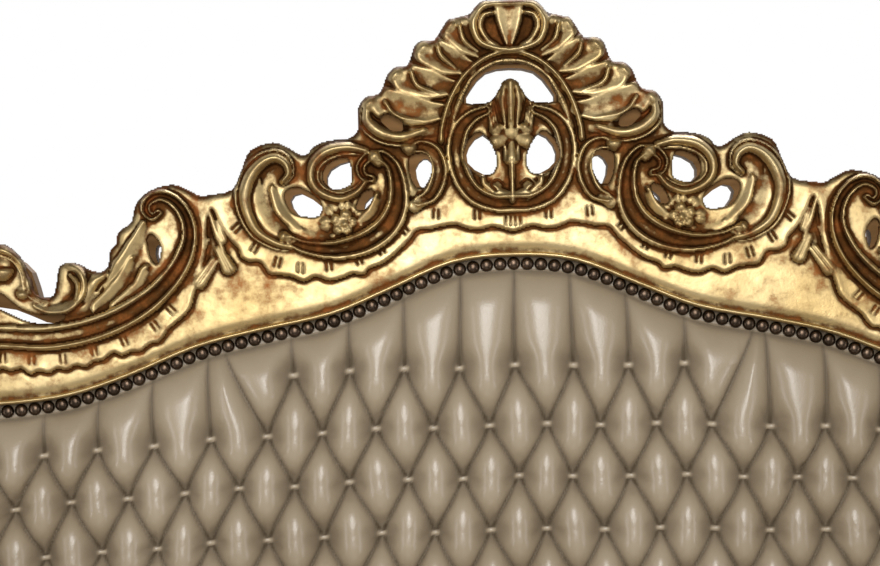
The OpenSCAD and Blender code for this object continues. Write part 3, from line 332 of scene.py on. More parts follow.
# %% Leaf spray, cup and rosette
limb([(208, 206), (213, 222), (219, 240), (224, 250)], [2, 3, 3, 2], 5, bead, 5)
leaves([((216, 222), (223, 240), 3, 5, 5, 6, 1.5), ((219, 249), (229, 268), 4, 7.5, 6, 6, 2),
    ((214, 262), (200, 282), 5, 7.5, 6, 6, 2), ((207, 240), (199, 258), 3, 5.5, 5, 6, 1.5)])
limbs([([(262, 186), (264, 204), (274, 222), (292, 236)], [10, 14, 14, 9], [9, 10, 10, 8], tilt, 5),
    ([(276, 190), (284, 210), (300, 226)], [7, 9, 8], [9, 10, 8], tilt, 5),
    ([(298, 226), (320, 234), (344, 240)], [10, 12, 9], [8, 8, 7], tilt, 5),
    ([(378, 200), (374, 216), (358, 232)], [8, 12, 10], [11, 11, 8], tilt, 5),
    ([(284, 182), (290, 174), (287, 163), (276, 157), (262, 162), (250, 176), (244, 196), (248, 216), (258, 233),
        (276, 244), (292, 248)], [4, 6, 7.5, 8.5, 9.5, 9.5, 9, 8, 7, 6, 4],
        [18, 20, 22, 22, 21, 20, 18, 17, 15, 13, 11], ribbon, 3, -1),
    ([(290, 240), (306, 247), (334, 250), (364, 243), (386, 228), (397, 208), (398, 186), (393, 167), (382, 157),
        (369, 158), (361, 167), (364, 177), (372, 179)], [5, 7, 9, 11, 12.5, 13, 12.5, 11, 9, 7, 6, 5, 3.5],
        [14, 16, 19, 20, 21, 21, 21, 21, 21, 22, 22, 22, 21], rim, 3, -1),
    ([(366, 152), (348, 149), (328, 153), (315, 165), (313, 180), (322, 192), (340, 198), (356, 192), (365, 182)],
        [5, 7, 8, 7.5, 6.5, 6, 6, 5.5, 4], [19, 20, 20, 19, 17, 16, 15, 16, 17], ribbon, 2, 1)])
leaves([((379, 163), (375, 158), 5, 6.5, 8, 18), ((287, 238), (285, 237), 5.5, 6, 9, 10)])

EYE = (344, 223)
for ring, count, size, turn in ((16, 7, 8.5, 0.3), (8, 5, 6.5, 1.1)):
    for k in range(count):
        angle = k * 2 * math.pi / count + turn + 0.12 * math.sin(5 * k)
        c, s = math.cos(angle), math.sin(angle)
        leaf((EYE[0] + (ring - 8) * c, EYE[1] + (ring - 8) * s), (EYE[0] + ring * c, EYE[1] + ring * s),
            3.5, size, 6 + (16 - ring) * 0.5 + math.sin(3 * k), 7, 2)
leaf((343, 221), (345, 224), 4, 4, 6, 12)
print("cup scroll", round(float(H.max()), 1), "mm tall")

# %% [markdown]
# ## The shoulder scroll
# At each shoulder a long rimmed limb sweeps out of a volute, with leaves, a curled tongue and
# balls above it. Only its near half can be seen well, and it stands about a line of its own,
# so the loops and balls are mirrored there, while the far limb runs on down the post.

# %% Near limbs of the shoulder
near_limbs = [([(148, 272), (140, 292), (118, 308)], [8, 13, 9], [11, 11, 9], tilt, 5),
    ([(146, 226), (140, 242), (130, 262), (112, 288)], [6, 12, 14, 8], [14, 15, 15, 10], tilt, 4),
    ([(134, 262), (122, 288), (100, 308)], [7, 13, 9], [13, 13, 10], tilt, 4),
    ([(98, 298), (88, 312), (66, 320)], [8, 10, 7], [10, 10, 8], tilt, 4),
    ([(160, 213), (153, 217), (147, 211), (149, 202), (160, 196), (174, 200), (186, 214), (191, 234), (186, 256),
        (173, 278), (151, 300), (120, 319), (84, 332), (46, 338), (10, 337), (-22, 336)],
        [3, 5, 6, 7, 8, 10, 11, 12, 13, 13, 13, 13, 13, 12, 12, 12],
        [21, 21, 21, 21, 22, 22, 22, 21, 21, 20, 19, 18, 17, 16, 15, 15], rim, 3, -1),
    ([(66, 266), (77, 274), (80, 290), (70, 303), (54, 308), (38, 304)], [7, 9, 9, 9, 8, 5],
        [15, 18, 20, 19, 16, 12], tilt, 3, -1),
    ([(72, 275), (80, 285), (78, 300)], [2, 3.5, 2], [20, 22, 20], bead, 4),
    ([(106, 274), (96, 284), (88, 300)], [8, 9, 6], [12, 13, 10], ribbon, 4)]
limbs(near_limbs)
print("near limbs", len(near_limbs))

# %% Far limbs, curl and balls
far_limbs = [([(-20, 340), (-60, 341), (-100, 340), (-138, 344), (-164, 358), (-177, 386), (-181, 430), (-182, 466)],
        [12, 12, 12, 11, 10, 8, 6, 5], [15, 15, 15, 15, 15, 14, 12, 11], rim, 3, -1),
    ([(-134, 290), (-142, 312), (-162, 330)], [6, 11, 8], [10, 13, 10], tilt, 5, -1),
    ([(-118, 288), (-124, 306), (-140, 326)], [6, 11, 8], [10, 12, 10], tilt, 4, -1),
    ([(-66, 300), (-84, 312), (-108, 322)], [6, 10, 7], [10, 12, 9], tilt, 4, 1),
    ([(-42, 304), (-47, 288), (-58, 266), (-76, 250), (-96, 245), (-113, 255), (-120, 274), (-112, 290), (-98, 293),
        (-90, 283), (-95, 274)], [6, 7, 9, 10, 10, 10, 9, 8, 7, 5, 4],
        [14, 17, 20, 21, 21, 20, 19, 18, 18, 18, 18], rim, 3, -1)]
for row in far_limbs:
    limb(*row, turned=True)
leaf((-94, 280), (-94, 282), 6, 6, 7, 15, turned=True)
for g, way in both([(46, 300), (32, 290), (27, 270), (15, 255), (-6, 249), (-22, 252)]):
    limb(g, [6, 7, 7, 7, 7, 7], [13, 14, 15, 15, 14, 14], ribbon, 3, way, turned=True)
for g, _ in both([(4, 268), (4, 270), (24, 291), (24, 293), (-16, 262), (-16, 286)]):
    leaf(g[0], g[1], 11, 12, 16, 6, turned=True)
    leaf(g[2], g[3], 7, 7, 11, 6, turned=True)
    leaf(g[4], g[5], 8, 11, 10, 5, 2, turned=True)
print("far limbs", len(far_limbs))

# %% [markdown]
# ## The crown: loops, shell and arch
# Over the middle stands a shell of hollow lobes round an arch with a row of pearls, and small
# loops join it to the cups. A real shell's lobes fan out from a hinge; here too each lobe is
# one scooped limb that widens outward, with a thin crescent over it and a knob at its end.

# %% Side loops, lobes, arch and wings
limb([(409, 152), (421, 147), (433, 153), (439, 168), (437, 183), (430, 196), (418, 202)],
    [4, 7, 9, 9, 9, 8, 5], 15, rim, 4, -1)
leaves([((409, 145), (409, 147), 8, 8, 11, 10), ((404, 160), (410, 192), 6, 8, 7, 6),
    ((424, 202), (414, 206), 5, 7, 6, 9)])
for lobe in [[(484, 54), (470, 42), (456, 30)], [(468, 68), (450, 62), (430, 52)], [(452, 88), (434, 86), (408, 80)],
        [(443, 112), (420, 112), (386, 104)]]:
    limb(lobe, [9, 17, 17], [12, 16, 17], scoop, 6)
for crescent in [[(437, 45), (441, 57), (455, 69)], [(411, 72), (418, 87), (440, 95)],
        [(385, 103), (398, 118), (428, 122)], [(459, 26), (464, 42), (477, 52)]]:
    limb(crescent, [3, 4, 2.5], [19, 18, 13], bead, 4)
for x, y in [(450, 27), (424, 49), (396, 76), (371, 104)]:
    leaf((x + 5, y + 3), (x, y), 8, 9, 9, 13)
limbs([([(508, 4), (490, 5), (478, 11), (473, 26), (479, 42), (493, 49), (508, 51)],
        [5, 5, 6, 6, 5, 4, 4], 21, bead, 4),
    ([(492, 14), (483, 17), (480, 28), (487, 41), (497, 47)], [3, 4, 4, 4, 3], 19, bead, 4),
    ([(510.3, 6), (510.5, 18), (510.5, 32), (510.5, 48)], [18, 16, 11, 5], [13, 12, 12, 10], scoop, 9),
    ([(516, 53), (498, 54), (480, 62), (462, 79), (449, 103), (442, 128), (441, 142)], 3.2, 17, bead, 5)])
pearl_line = [(516, 61), (499, 62), (485, 69), (469, 84), (457, 106), (450, 130)]
limb(pearl_line, 5.5, 7, bead, 6)
pearls = spline(upright(pearl_line), 6)
for x, y in pearls:
    leaf((x, y), (x + 0.1, y), 2.4, 2.4, 6, 10, turned=True)
limb([(424, 132), (402, 139), (381, 135), (367, 123), (366, 110)], [6, 8, 9, 9, 6], [14, 17, 18, 18, 15], ribbon, 3, 1)
leaf((436, 130), (414, 132), 7, 8, 8, 8)
print("pearls", len(pearls))

# %% [markdown]
# ## The medallion
# A ring with a rimmed section stands in the arch, and in it a plain palmette: a husk of three
# ribs over leaves that hang from a bud. Grooves cut the husk's ribs after the leaf is raised,
# as a veining tool would, so the order of the cuts matters here.

# %% Ring, palmette and its veins
limbs([([(486, 111), (471, 118), (460, 131), (456, 151), (461, 175), (474, 194), (494, 203), (514, 203)],
        [5, 8, 10, 10, 10, 10, 9, 9], 17, rim, 3, -1),
    ([(512, 196), (498, 194), (484, 186), (482, 178)], [6, 8, 7, 4], 12, ribbon, 4)])
leaf((497, 184), (495, 187), 7, 8, 8, 8)
groove([(503, 184), (497, 180), (491, 185), (496, 191)], 1.3, 4)
leaf((491, 106), (496, 130), 5, 7.5, 11, 7)
for k in (-1, 0, 1):
    groove([(492 + 3 * k, 104), (496 + 3 * k, 128)], 1.1, 3)
leaf((511, 132), (510.5, 96), 9, 16, 16, 10)
for vein in [[(503, 128), (498, 104), (500, 92)], [(507, 128), (505, 102), (506, 88)]]:
    groove(vein, 1.5, 4)
leaves([((512, 120), (510.5, 84), 3.5, 5, 12, 18), ((512, 134), (496, 142), 8, 8, 12, 7),
    ((512, 142), (512, 158), 10, 9, 12, 8)])
groove([(507, 143), (506, 160)], 1.4, 3)
leaf((500, 128), (498, 128), 4, 4, 6, 14)
limb([(512.5, 164), (513, 182), (514, 200)], [5, 3.5, 5], 14, bead, 6)
print("tallest cut", round(float(H.max()), 1), "mm")

# %% [markdown]
# ## The board's outline and its piercings
# A fretsaw cuts the crest's outline and its holes before any carving is done, and the carver
# then rounds the edges over. Booleans could cut them, at the cost of ragged edges. Here the
# signed distance to the outline and to the holes says what is left, and the same distance
# rounds the relief down to the sawn edge.

# %% Outline, holes and rounded edges
outline_near = upright([(0, 243), (15, 250), (25, 262), (28, 272), (33, 280), (36, 292), (45, 297), (53, 295),
    (56, 285), (58, 270), (62, 264), (72, 262), (83, 265), (92, 270), (102, 271), (108, 265), (110, 250), (116, 243),
    (118, 232), (130, 223), (133, 215), (136, 203), (150, 190), (173, 184), (190, 190), (200, 195), (212, 194),
    (232, 189),
    (241, 170), (250, 150), (273, 142), (290, 148), (304, 155), (315, 145), (330, 140), (348, 138), (357, 130),
    (357, 110), (365, 97), (379, 93), (386, 76), (395, 67), (407, 65), (414, 46), (424, 40), (434, 40), (446, 21),
    (455, 18), (468, 14), (474, 8), (482, 0.5), (495, 0.3)])
outline_far = [(-197, 470), (-193, 420), (-190, 380), (-184, 345), (-172, 320), (-150, 304), (-132, 294), (-128, 268),
    (-116, 244), (-96, 234), (-76, 240), (-56, 264), (-44, 294), (-34, 285), (-30, 262), (-14, 246)]
outline = spline(np.vstack([outline_far, outline_near, [(MIDDLE, 0)]]), 3)
holes = [[(516, 66), (494, 66), (476, 77), (468, 90), (465, 103), (488, 102), (498, 90), (502, 82), (510, 79),
        (540, 79), (540, 66)],
    [(480, 133), (467, 144), (464, 160), (478, 174), (493, 172), (495, 154)],
    [(411, 157), (427, 155), (431, 171), (424, 186), (416, 186), (410, 172)],
    [(345, 158), (327, 166), (324, 180), (334, 189), (350, 184), (351, 170)],
    [(299, 188), (285, 194), (292, 211), (305, 216), (319, 215), (320, 202)],
    [(371, 190), (362, 195), (357, 208), (365, 209), (373, 197)],
    [(153, 235), (148, 240), (152, 258), (158, 263), (161, 247)],
    [(388, 115), (381, 120), (391, 130), (401, 131), (402, 123)],
    [(0, 293), (20, 308), (40, 315), (65, 315), (56, 322), (33, 322), (8, 312), (-12, 300)]]
gap, _, _ = nearest(outline, X, Y)
rim_gap = np.where(inside(np.vstack([outline, [(560, 0), (560, 470)]]), X, Y), gap, -gap)
reach = rim_gap.copy()
for hole in holes:
    ring = spline(upright(hole), 3, True)
    d, _, _ = nearest(np.vstack([ring, ring[0]]), X, Y)
    reach = np.minimum(reach, np.where(inside(ring, X, Y), -d, d))
# a quarter round: the square root of 1 minus (1 - share) squared
round_over = lambda share: np.sqrt(np.clip(1 - (1 - np.clip(share, 0, 1)) ** 2, 0, 1))
H *= 0.2 + 0.8 * round_over(rim_gap / 9)
H *= 0.55 + 0.45 * round_over(reach / 3.2)
reach = np.minimum(reach, above_lip)
print("holes", len(holes), "wood left", round(float((reach > 0).mean()), 3))

# %% [markdown]
# ## Softening, mirroring, bole and painted shade
# Worn gesso fills sharp corners, so the field is softened a little. The right half mirrors the
# left. Where a place lies lower than its surroundings, brushes and polishing cloths never
# reach it and the dark red ground shows through, and the same darkening paints the shade of
# the deep channels: the field's own average minus its height tells where that is. A painted
# shade along the crest's outer edge is added, and the finish reads both from one attribute.

# %% Blur, mirror, bole and painted shade
def blur(a, n, times=2):
    """A box average of 2 n + 1 cells each way, as a difference of running sums."""
    for _ in range(times):
        for axis in (0, 1):
            p = np.pad(a, [(n, n) if k == axis else (0, 0) for k in (0, 1)], "reflect")
            c = np.cumsum(np.insert(p, 0, 0, axis), axis)
            size = c.shape[axis]
            a = (np.take(c, range(2 * n + 1, size), axis) - np.take(c, range(size - 2 * n - 1), axis)) / (2 * n + 1)
    return a


H = np.maximum(0.5 * H + 0.5 * blur(H, 1, 1), 1.0)
H, reach, rim_gap = [np.concatenate([a, a[:, -2::-1]], 1) for a in (H, reach, rim_gap)]
grid_x = np.concatenate([grid_x, 2 * MIDDLE - grid_x[-2::-1]])
X, Y = np.meshgrid(grid_x, grid_y)
# the bole shows in the hollows, and its dark colour also paints the shade there; the leaf is worn over the crown
crown_wear = 0.27 * np.exp(-((X - MIDDLE) / 125) ** 2 - ((Y - 80) / 85) ** 2)
recess = np.clip((blur(H, 2) - H) / 2.3 + (blur(H, 8) - H) / 9 + crown_wear, -1, 1)
# painted shade along the crest's outer edge, as dark bole on its rounded rim
recess = np.maximum(recess, 0.55 * np.exp(-(rim_gap / 4.5) ** 2))
grad_y, grad_x = np.gradient(H / 1000, STEP * UNIT)
print("height field", H.shape, "tallest", round(float(H.max()), 1), "mm")

# %% [markdown]
# ## Meshes from arrays
# Every new piece is a mesh whose points and faces are worked out as whole arrays. bmesh could
# add them one by one, which takes minutes at this density, while foreach_set copies an array
# in one go. The same helper makes the piece ride on its body, hides the node that it stands
# for, and takes custom normals where the height field knows them better than the mesh does.

# %% Piece, attribute and grid faces
def plain(name, verts, faces, body="frame", stand_for=(), material=None, corners=None, sharp=None):
    """A smooth mesh piece on a body. faces is an array of index rows or a list of such arrays,
    corners gives a normal for each corner of each face, sharp the edges that split shading."""
    me = bpy.data.meshes.new(name)
    verts = np.asarray(verts, float)
    groups = [np.asarray(f) for f in (faces if isinstance(faces, list) else [faces])]
    me.vertices.add(len(verts))
    me.vertices.foreach_set("co", verts.astype(np.float32).ravel())
    flat = np.concatenate([g.ravel() for g in groups]).astype(np.int32)
    sizes = np.concatenate([np.full(len(g), g.shape[1]) for g in groups])
    me.loops.add(len(flat))
    me.loops.foreach_set("vertex_index", flat)
    me.polygons.add(len(sizes))
    me.polygons.foreach_set("loop_start", np.concatenate([[0], np.cumsum(sizes)[:-1]]).astype(np.int32))
    me.update(calc_edges=True)
    me.validate()
    me.polygons.foreach_set("use_smooth", np.ones(len(me.polygons), bool))
    if corners is not None:
        ends = np.empty(len(me.edges) * 2, np.int32)
        me.edges.foreach_get("vertices", ends)
        # an edge as one number: its low end times the number of points, plus its high end
        key = lambda e: np.sort(e, 1) @ [len(verts), 1]
        is_sharp = np.isin(key(ends.reshape(-1, 2).astype(np.int64)), key(sharp))
        me.attributes.new("sharp_edge", "BOOLEAN", "EDGE").data.foreach_set("value", is_sharp)
        me.normals_split_custom_set(corners)
    ob = bpy.data.objects.new(name, me)
    bpy.context.scene.collection.objects.link(ob)
    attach(ob, body)
    if stand_for:
        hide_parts(*stand_for)
    if material:
        me.materials.append(material)
    return ob


def attribute(ob, name, values):
    """A named float for each vertex, for a material to read."""
    ob.data.attributes.new(name, "FLOAT", "POINT").data.foreach_set("value", np.asarray(values, np.float32))


def quads_of(rows, cols, ring=False, loop=False):
    """Faces of a grid whose points are numbered row by row. ring joins the last column to the
    first, loop the last row to the first."""
    i, j = np.meshgrid(np.arange(rows - (not loop)), np.arange(cols - (not ring)), indexing="ij")
    low, high, right = i * cols, (i + 1) % rows * cols, (j + 1) % cols
    return np.stack([low + j, low + right, high + right, high + j], -1).reshape(-1, 4)


def rim_of(rows, cols):
    """The indices round the edge of a grid: first row, last column, last row, first column."""
    return np.concatenate([np.arange(cols), np.arange(1, rows) * cols + cols - 1,
        (rows - 1) * cols + np.arange(cols - 2, -1, -1), np.arange(rows - 2, 0, -1) * cols])


def points_of(mesh, kind="co"):
    """The places of a mesh's vertices, or their normals, as rows of three."""
    a = np.empty(len(mesh.vertices) * 3, np.float32)
    mesh.vertices.foreach_get(kind, a)
    return a.reshape(-1, 3)


def box_of(name):
    """A node's lowest and highest corners as arrays."""
    low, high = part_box(name)
    return np.array(low), np.array(high)


print("a grid of 3 by 4 points has", len(quads_of(3, 4)), "faces")

# %% [markdown]
# ## Pieces cut from the height field
# On a real crest the scrolls, shell and rosettes are carved lumps glued to the board. Each
# cell of the grid is given to one of them by the zone it lies in. A piece gets the field as
# its front, walls down to the board, a flat lid behind, and normals from the field's slope,
# so that neighbours meet without a visible seam.

# %% Zones of the carving
cell_x, cell_y = X[:-1, :-1] + STEP / 2, Y[:-1, :-1] + STEP / 2
fold_x = np.minimum(cell_x, 2 * MIDDLE - cell_x)
kept = reach > 0
alive = kept[:-1, :-1] & kept[1:, :-1] & kept[1:, 1:] & kept[:-1, 1:]
zones = [("crest_finial", [(484, 64), (488, 136), (496, 200), (530, 200), (530, 64)]),
    ("crest_medallion", [(530, 56), (498, 58), (480, 66), (464, 84), (452, 110), (449, 160), (452, 214), (530, 214)]),
    ("crest_side_loops", [(400, 134), (450, 134), (452, 212), (404, 208)]),
    ("cup_scroll", [(238, 203), (243, 222), (256, 240), (278, 251), (296, 257), (330, 261), (361, 257), (387, 244),
        (404, 226), (412, 199), (410, 174), (400, 150), (382, 143), (357, 136), (330, 134), (304, 150), (290, 142),
        (273, 134), (244, 146), (234, 170)]),
    ("shoulder_scroll", [(-260, 180), (-260, 352), (-15, 352), (22, 352), (67, 351), (100, 344), (134, 332),
        (165, 310), (187, 288), (202, 262), (206, 233), (203, 214), (206, 180)]),
    ("crest_shell", [(340, 90), (352, 150), (460, 150), (530, 62), (530, -20), (300, -20)])]
FIELD, ROSETTE, ROSETTE_REACH = len(zones), 9, 25
label = np.full(alive.shape, FIELD)
for k, (_, zone) in reversed(list(enumerate(zones))):
    label[inside(upright(zone), fold_x, cell_y)] = k
eye_at = upright([EYE])[0]
label[np.hypot(fold_x - eye_at[0], cell_y - eye_at[1]) < ROSETTE_REACH] = ROSETTE
print({name: int((alive & (label == k)).sum()) for k, (name, _) in enumerate(zones)})


# %% Relief cutter
def relief(name, cells, stand_for, material):
    """The cells as one closed piece. Its front is the field, its normal out minus the field's
    slope across and down the drawing, and its walls end half a millimetre in the board."""
    rows, cols = np.nonzero(cells)
    across = X.shape[1]
    quads = np.stack([rows * across + cols, (rows + 1) * across + cols, (rows + 1) * across + cols + 1,
        rows * across + cols + 1], 1)
    used, flat = np.unique(quads, return_inverse=True)
    quads = flat.reshape(quads.shape)
    px, py, h = X.ravel()[used], Y.ravel()[used], H.ravel()[used] / 1000
    front = world(px, py, h)
    # an edge that no other face runs back along is on the border
    edges = np.concatenate([quads[:, [k, (k + 1) % 4]] for k in range(4)])
    key, back_key = edges[:, 0] * len(used) + edges[:, 1], edges[:, 1] * len(used) + edges[:, 0]
    border = edges[~np.isin(key, back_key)]
    ids, flat = np.unique(border, return_inverse=True)
    border = flat.reshape(border.shape)
    n = len(used)
    verts = np.vstack([front, world(px[ids], py[ids], -0.0005)])
    walls = np.stack([ids[border[:, 1]], ids[border[:, 0]], border[:, 0] + n, border[:, 1] + n], 1)
    # the back is one flat lid, cut into triangles between the border's points; those in the holes are dropped
    spots = [Vector((x, -y)) for x, y in zip(px[ids], py[ids])]
    points, _, lid, origin, _, _ = delaunay_2d_cdt(spots, border.tolist(), [], 1, 1e-6)
    lid = np.array([origin[k][0] for k in range(len(points))])[np.array(lid)]
    mid_x, mid_y = px[ids][lid].mean(1), py[ids][lid].mean(1)
    lid = lid[cells[((mid_y - Y[0, 0]) / STEP).astype(int), ((mid_x - X[0, 0]) / STEP).astype(int)]]
    (ax, bx, cx), (ay, by, cy) = px[ids][lid].T, -py[ids][lid].T
    faces_out = (bx - ax) * (cy - ay) - (by - ay) * (cx - ax) > 0
    lid[faces_out] = lid[faces_out][:, ::-1]
    slope_x, slope_y = grad_x.ravel()[used][:, None], grad_y.ravel()[used][:, None]
    normal = OUT - slope_x * [1, 0, 0] - slope_y * [0, -SIN, -COS]
    normal /= np.linalg.norm(normal, axis=1)[:, None]
    flank = np.cross(verts[walls[:, 1]] - verts[walls[:, 0]], verts[walls[:, 3]] - verts[walls[:, 0]])
    flank /= np.maximum(np.linalg.norm(flank, axis=1), 1e-12)[:, None]
    corners = np.vstack([normal[quads].reshape(-1, 3), np.repeat(flank, 4, 0), np.tile(-OUT, (lid.size, 1))])
    sharp = np.vstack([ids[border], border + n])
    ob = plain(name, verts, [np.vstack([quads, walls]), lid + n], "frame", stand_for, material, corners, sharp)
    # the walls of the holes get a painted shade as dark bole, but not at the post ends beyond 0.7 m
    wall_shade = np.where(np.abs(front[ids][:, 0]) > 0.7, 0.0, 0.5)
    attribute(ob, "recess", np.concatenate([recess.ravel()[used], wall_shade]))
    print(name, 2 * len(quads) + 2 * len(walls) + len(lid), "triangles")
    return ob


print("cells of wood in all", int(alive.sum()))

# %% [markdown]
# ## Building materials from nodes
# A finish is a small network of nodes. It can be wired by hand in the Shading workspace, and
# in a script each node is made, set and linked. One helper does all three, so a material
# reads as a list of what feeds what. All patterns run on object coordinates, in metres.

# %% Node helpers
def new_material(name):
    """An empty material with a Principled shader linked to its output."""
    m = bpy.data.materials.new(name)
    m.use_nodes = True
    t = m.node_tree
    t.nodes.clear()
    out = t.nodes.new("ShaderNodeOutputMaterial")
    shader = t.nodes.new("ShaderNodeBsdfPrincipled")
    t.links.new(shader.outputs[0], out.inputs[0])
    return m, t, shader


def node(t, kind, **put):
    """A node with its inputs set: a link if the value is a socket, a number otherwise. A
    leading underscore sets a property, i and a number an input by its place."""
    n = t.nodes.new(kind)
    for k, v in put.items():
        if k.startswith("_"):
            setattr(n, k[1:], v)
            continue
        s = n.inputs[int(k[1:])] if k[0] == "i" and k[1:].isdigit() else n.inputs[k.replace("_", " ")]
        if isinstance(v, bpy.types.NodeSocket):
            t.links.new(v, s)
        else:
            s.default_value = v
    return n


def maths(t, operation, *values):
    """The output of a Math node."""
    return node(t, "ShaderNodeMath", _operation=operation, **{f"i{k}": v for k, v in enumerate(values)}).outputs[0]


def ranged(t, value, low, high, to_low=0.0, to_high=1.0, **put):
    """A value carried from one range to another."""
    return node(t, "ShaderNodeMapRange", i0=value, i1=low, i2=high, i3=to_low, i4=to_high, **put).outputs[0]


def mixed(t, share, first, second):
    """Two colours mixed by a share."""
    return node(t, "ShaderNodeMix", _data_type="RGBA", i0=share, i6=first, i7=second).outputs[2]


def place_of(t):
    """Object coordinates, in metres."""
    return node(t, "ShaderNodeTexCoord").outputs["Object"]


def group(name, inputs, outputs):
    """A shader node group with named sockets; gives its tree, what comes in and what goes out."""
    g = bpy.data.node_groups.new(name, "ShaderNodeTree")
    for way, sockets in (("INPUT", inputs), ("OUTPUT", outputs)):
        for title, kind in sockets:
            g.interface.new_socket(name=title, in_out=way, socket_type="NodeSocket" + kind)
    return g, g.nodes.new("NodeGroupInput").outputs, g.nodes.new("NodeGroupOutput").inputs


print("helpers for nodes: node, maths, ranged, mixed, place_of, group")

# %% Mottling, two shades mixed by a noise
mottle, came, gone = group("mottle", [("Place", "Vector"), ("Scale", "Float"), ("Detail", "Float"),
    ("Dark", "Color"), ("Light", "Color")], [("Colour", "Color")])
noise = node(mottle, "ShaderNodeTexNoise", Vector=came["Place"], Scale=came["Scale"], Detail=came["Detail"]).outputs[0]
mottle.links.new(mixed(mottle, ranged(mottle, noise, 0.3, 0.7), came["Dark"], came["Light"]), gone["Colour"])


def mottled(t, place, scale, dark, light, detail=5.0):
    """The mottling group, placed with its own scale and shades."""
    return node(t, "ShaderNodeGroup", _node_tree=mottle, Place=place, Scale=scale, Detail=detail,
        Dark=(*dark, 1), Light=(*light, 1)).outputs["Colour"]


print("mottling group has", len(mottle.nodes), "nodes")

# %% [markdown]
# ## Worn leaf over red bole
# Gold leaf is laid on a red clay ground, the bole, and burnished. Handling rubs it through,
# and the deep places were never polished. A photograph of old gilding could be projected on,
# but it would stretch and repeat. Instead one mask, depth plus a noise times the amount of
# rubbing, mixes leaf and bole and sets their gloss. It is a node group, because the carved
# wood and the plain members share it with different values.

# %% Gilding group
leaf_over_bole, came, gone = group("leaf over bole", [("Place", "Vector"), ("Depth", "Float"), ("Rub", "Float"),
    ("Leaf", "Color")], [("Colour", "Color"), ("Roughness", "Float"), ("Normal", "Vector")])
g = leaf_over_bole
wear = node(g, "ShaderNodeTexNoise", Vector=came["Place"], Scale=42.0, Detail=7.0, Roughness=0.68).outputs[0]
fine = node(g, "ShaderNodeTexNoise", Vector=came["Place"], Scale=190.0, Detail=4.0, Roughness=0.6).outputs[0]
# on the carving, Depth carries the bole of the hollows together with painted shade
worn = maths(g, "MULTIPLY_ADD", maths(g, "SUBTRACT", wear, 0.5), came["Rub"], came["Depth"])
mask = ranged(g, worn, -0.05, 0.5, _interpolation_type="SMOOTHSTEP")
bole = node(g, "ShaderNodeValToRGB", Fac=wear)
bole_stops = [(0.35, (0.04, 0.017, 0.006)), (0.52, (0.12, 0.048, 0.013)), (0.68, (0.32, 0.115, 0.032))]
bole.color_ramp.elements.new(0.5)
for stop, (at, colour) in zip(bole.color_ramp.elements, bole_stops):
    stop.position, stop.color = at, (*colour, 1)
g.links.new(mixed(g, mask, came["Leaf"], bole.outputs["Color"]), gone["Colour"])
g.links.new(ranged(g, worn, -0.5, 0.7, 0.33, 0.68), gone["Roughness"])
bump = node(g, "ShaderNodeBump", Strength=0.12, Distance=0.001, Height=fine)
bump = node(g, "ShaderNodeBump", Strength=0.22, Distance=0.003, Height=wear, Normal=bump.outputs[0])
g.links.new(bump.outputs[0], gone["Normal"])
print("gilding group has", len(leaf_over_bole.nodes), "nodes")

# %% Gilt, carved and plain
GOLD_DARK, GOLD_LIGHT = (0.5, 0.352, 0.15), (0.7, 0.548, 0.292)


def gilt(name, carved):
    """Burnished leaf over bole. Its depth is the carving's attribute of bole and painted shade,
    or on the plain members 4 times 0.49 minus pointiness."""
    m, t, shader = new_material(name)
    pos = place_of(t)
    if carved:
        deep = node(t, "ShaderNodeAttribute", _attribute_name="recess").outputs["Fac"]
    else:
        pointed = node(t, "ShaderNodeNewGeometry").outputs["Pointiness"]
        deep = maths(t, "MULTIPLY", maths(t, "SUBTRACT", 0.49, pointed), 4.0)
    gold = mottled(t, pos, 9.0, GOLD_DARK, GOLD_LIGHT, 4.0)
    skin = node(t, "ShaderNodeGroup", _node_tree=leaf_over_bole, Place=pos, Depth=deep,
        Rub=1.9 if carved else 1.4, Leaf=gold)
    for given, socket in (("Colour", "Base Color"), ("Roughness", "Roughness"), ("Normal", "Normal")):
        t.links.new(skin.outputs[given], shader.inputs[socket])
    shader.inputs["Metallic"].default_value = 1.0
    return m


gilt_carved, gilt_plain = gilt("gilt carved", True), gilt("gilt plain", False)
print("gilt finishes", gilt_carved.name, "and", gilt_plain.name)

# %% Gilt in shade
# the board behind the carving is dark brown, a painted shade on the walls of its holes and its dark stain behind, and
# gilt at its two ends
shade, t, shader = new_material("gilt in shade")
pos = place_of(t)
along_board = node(t, "ShaderNodeMapping", Vector=pos, Scale=(0.15, 2.5, 2.5)).outputs[0]
side_x = maths(t, "ABSOLUTE", node(t, "ShaderNodeSeparateXYZ", i0=pos).outputs["X"])
at_end = ranged(t, side_x, 0.7, 0.704)
brown = mottled(t, along_board, 24.0, (0.1, 0.052, 0.02), (0.2, 0.11, 0.045))
gold = mottled(t, pos, 9.0, GOLD_DARK, GOLD_LIGHT)
t.links.new(mixed(t, at_end, brown, gold), shader.inputs["Base Color"])
t.links.new(ranged(t, at_end, 0.0, 1.0, 0.6, 0.4), shader.inputs["Roughness"])
shader.inputs["Metallic"].default_value = 1.0
print(shade.name, "has", len(t.nodes), "nodes")
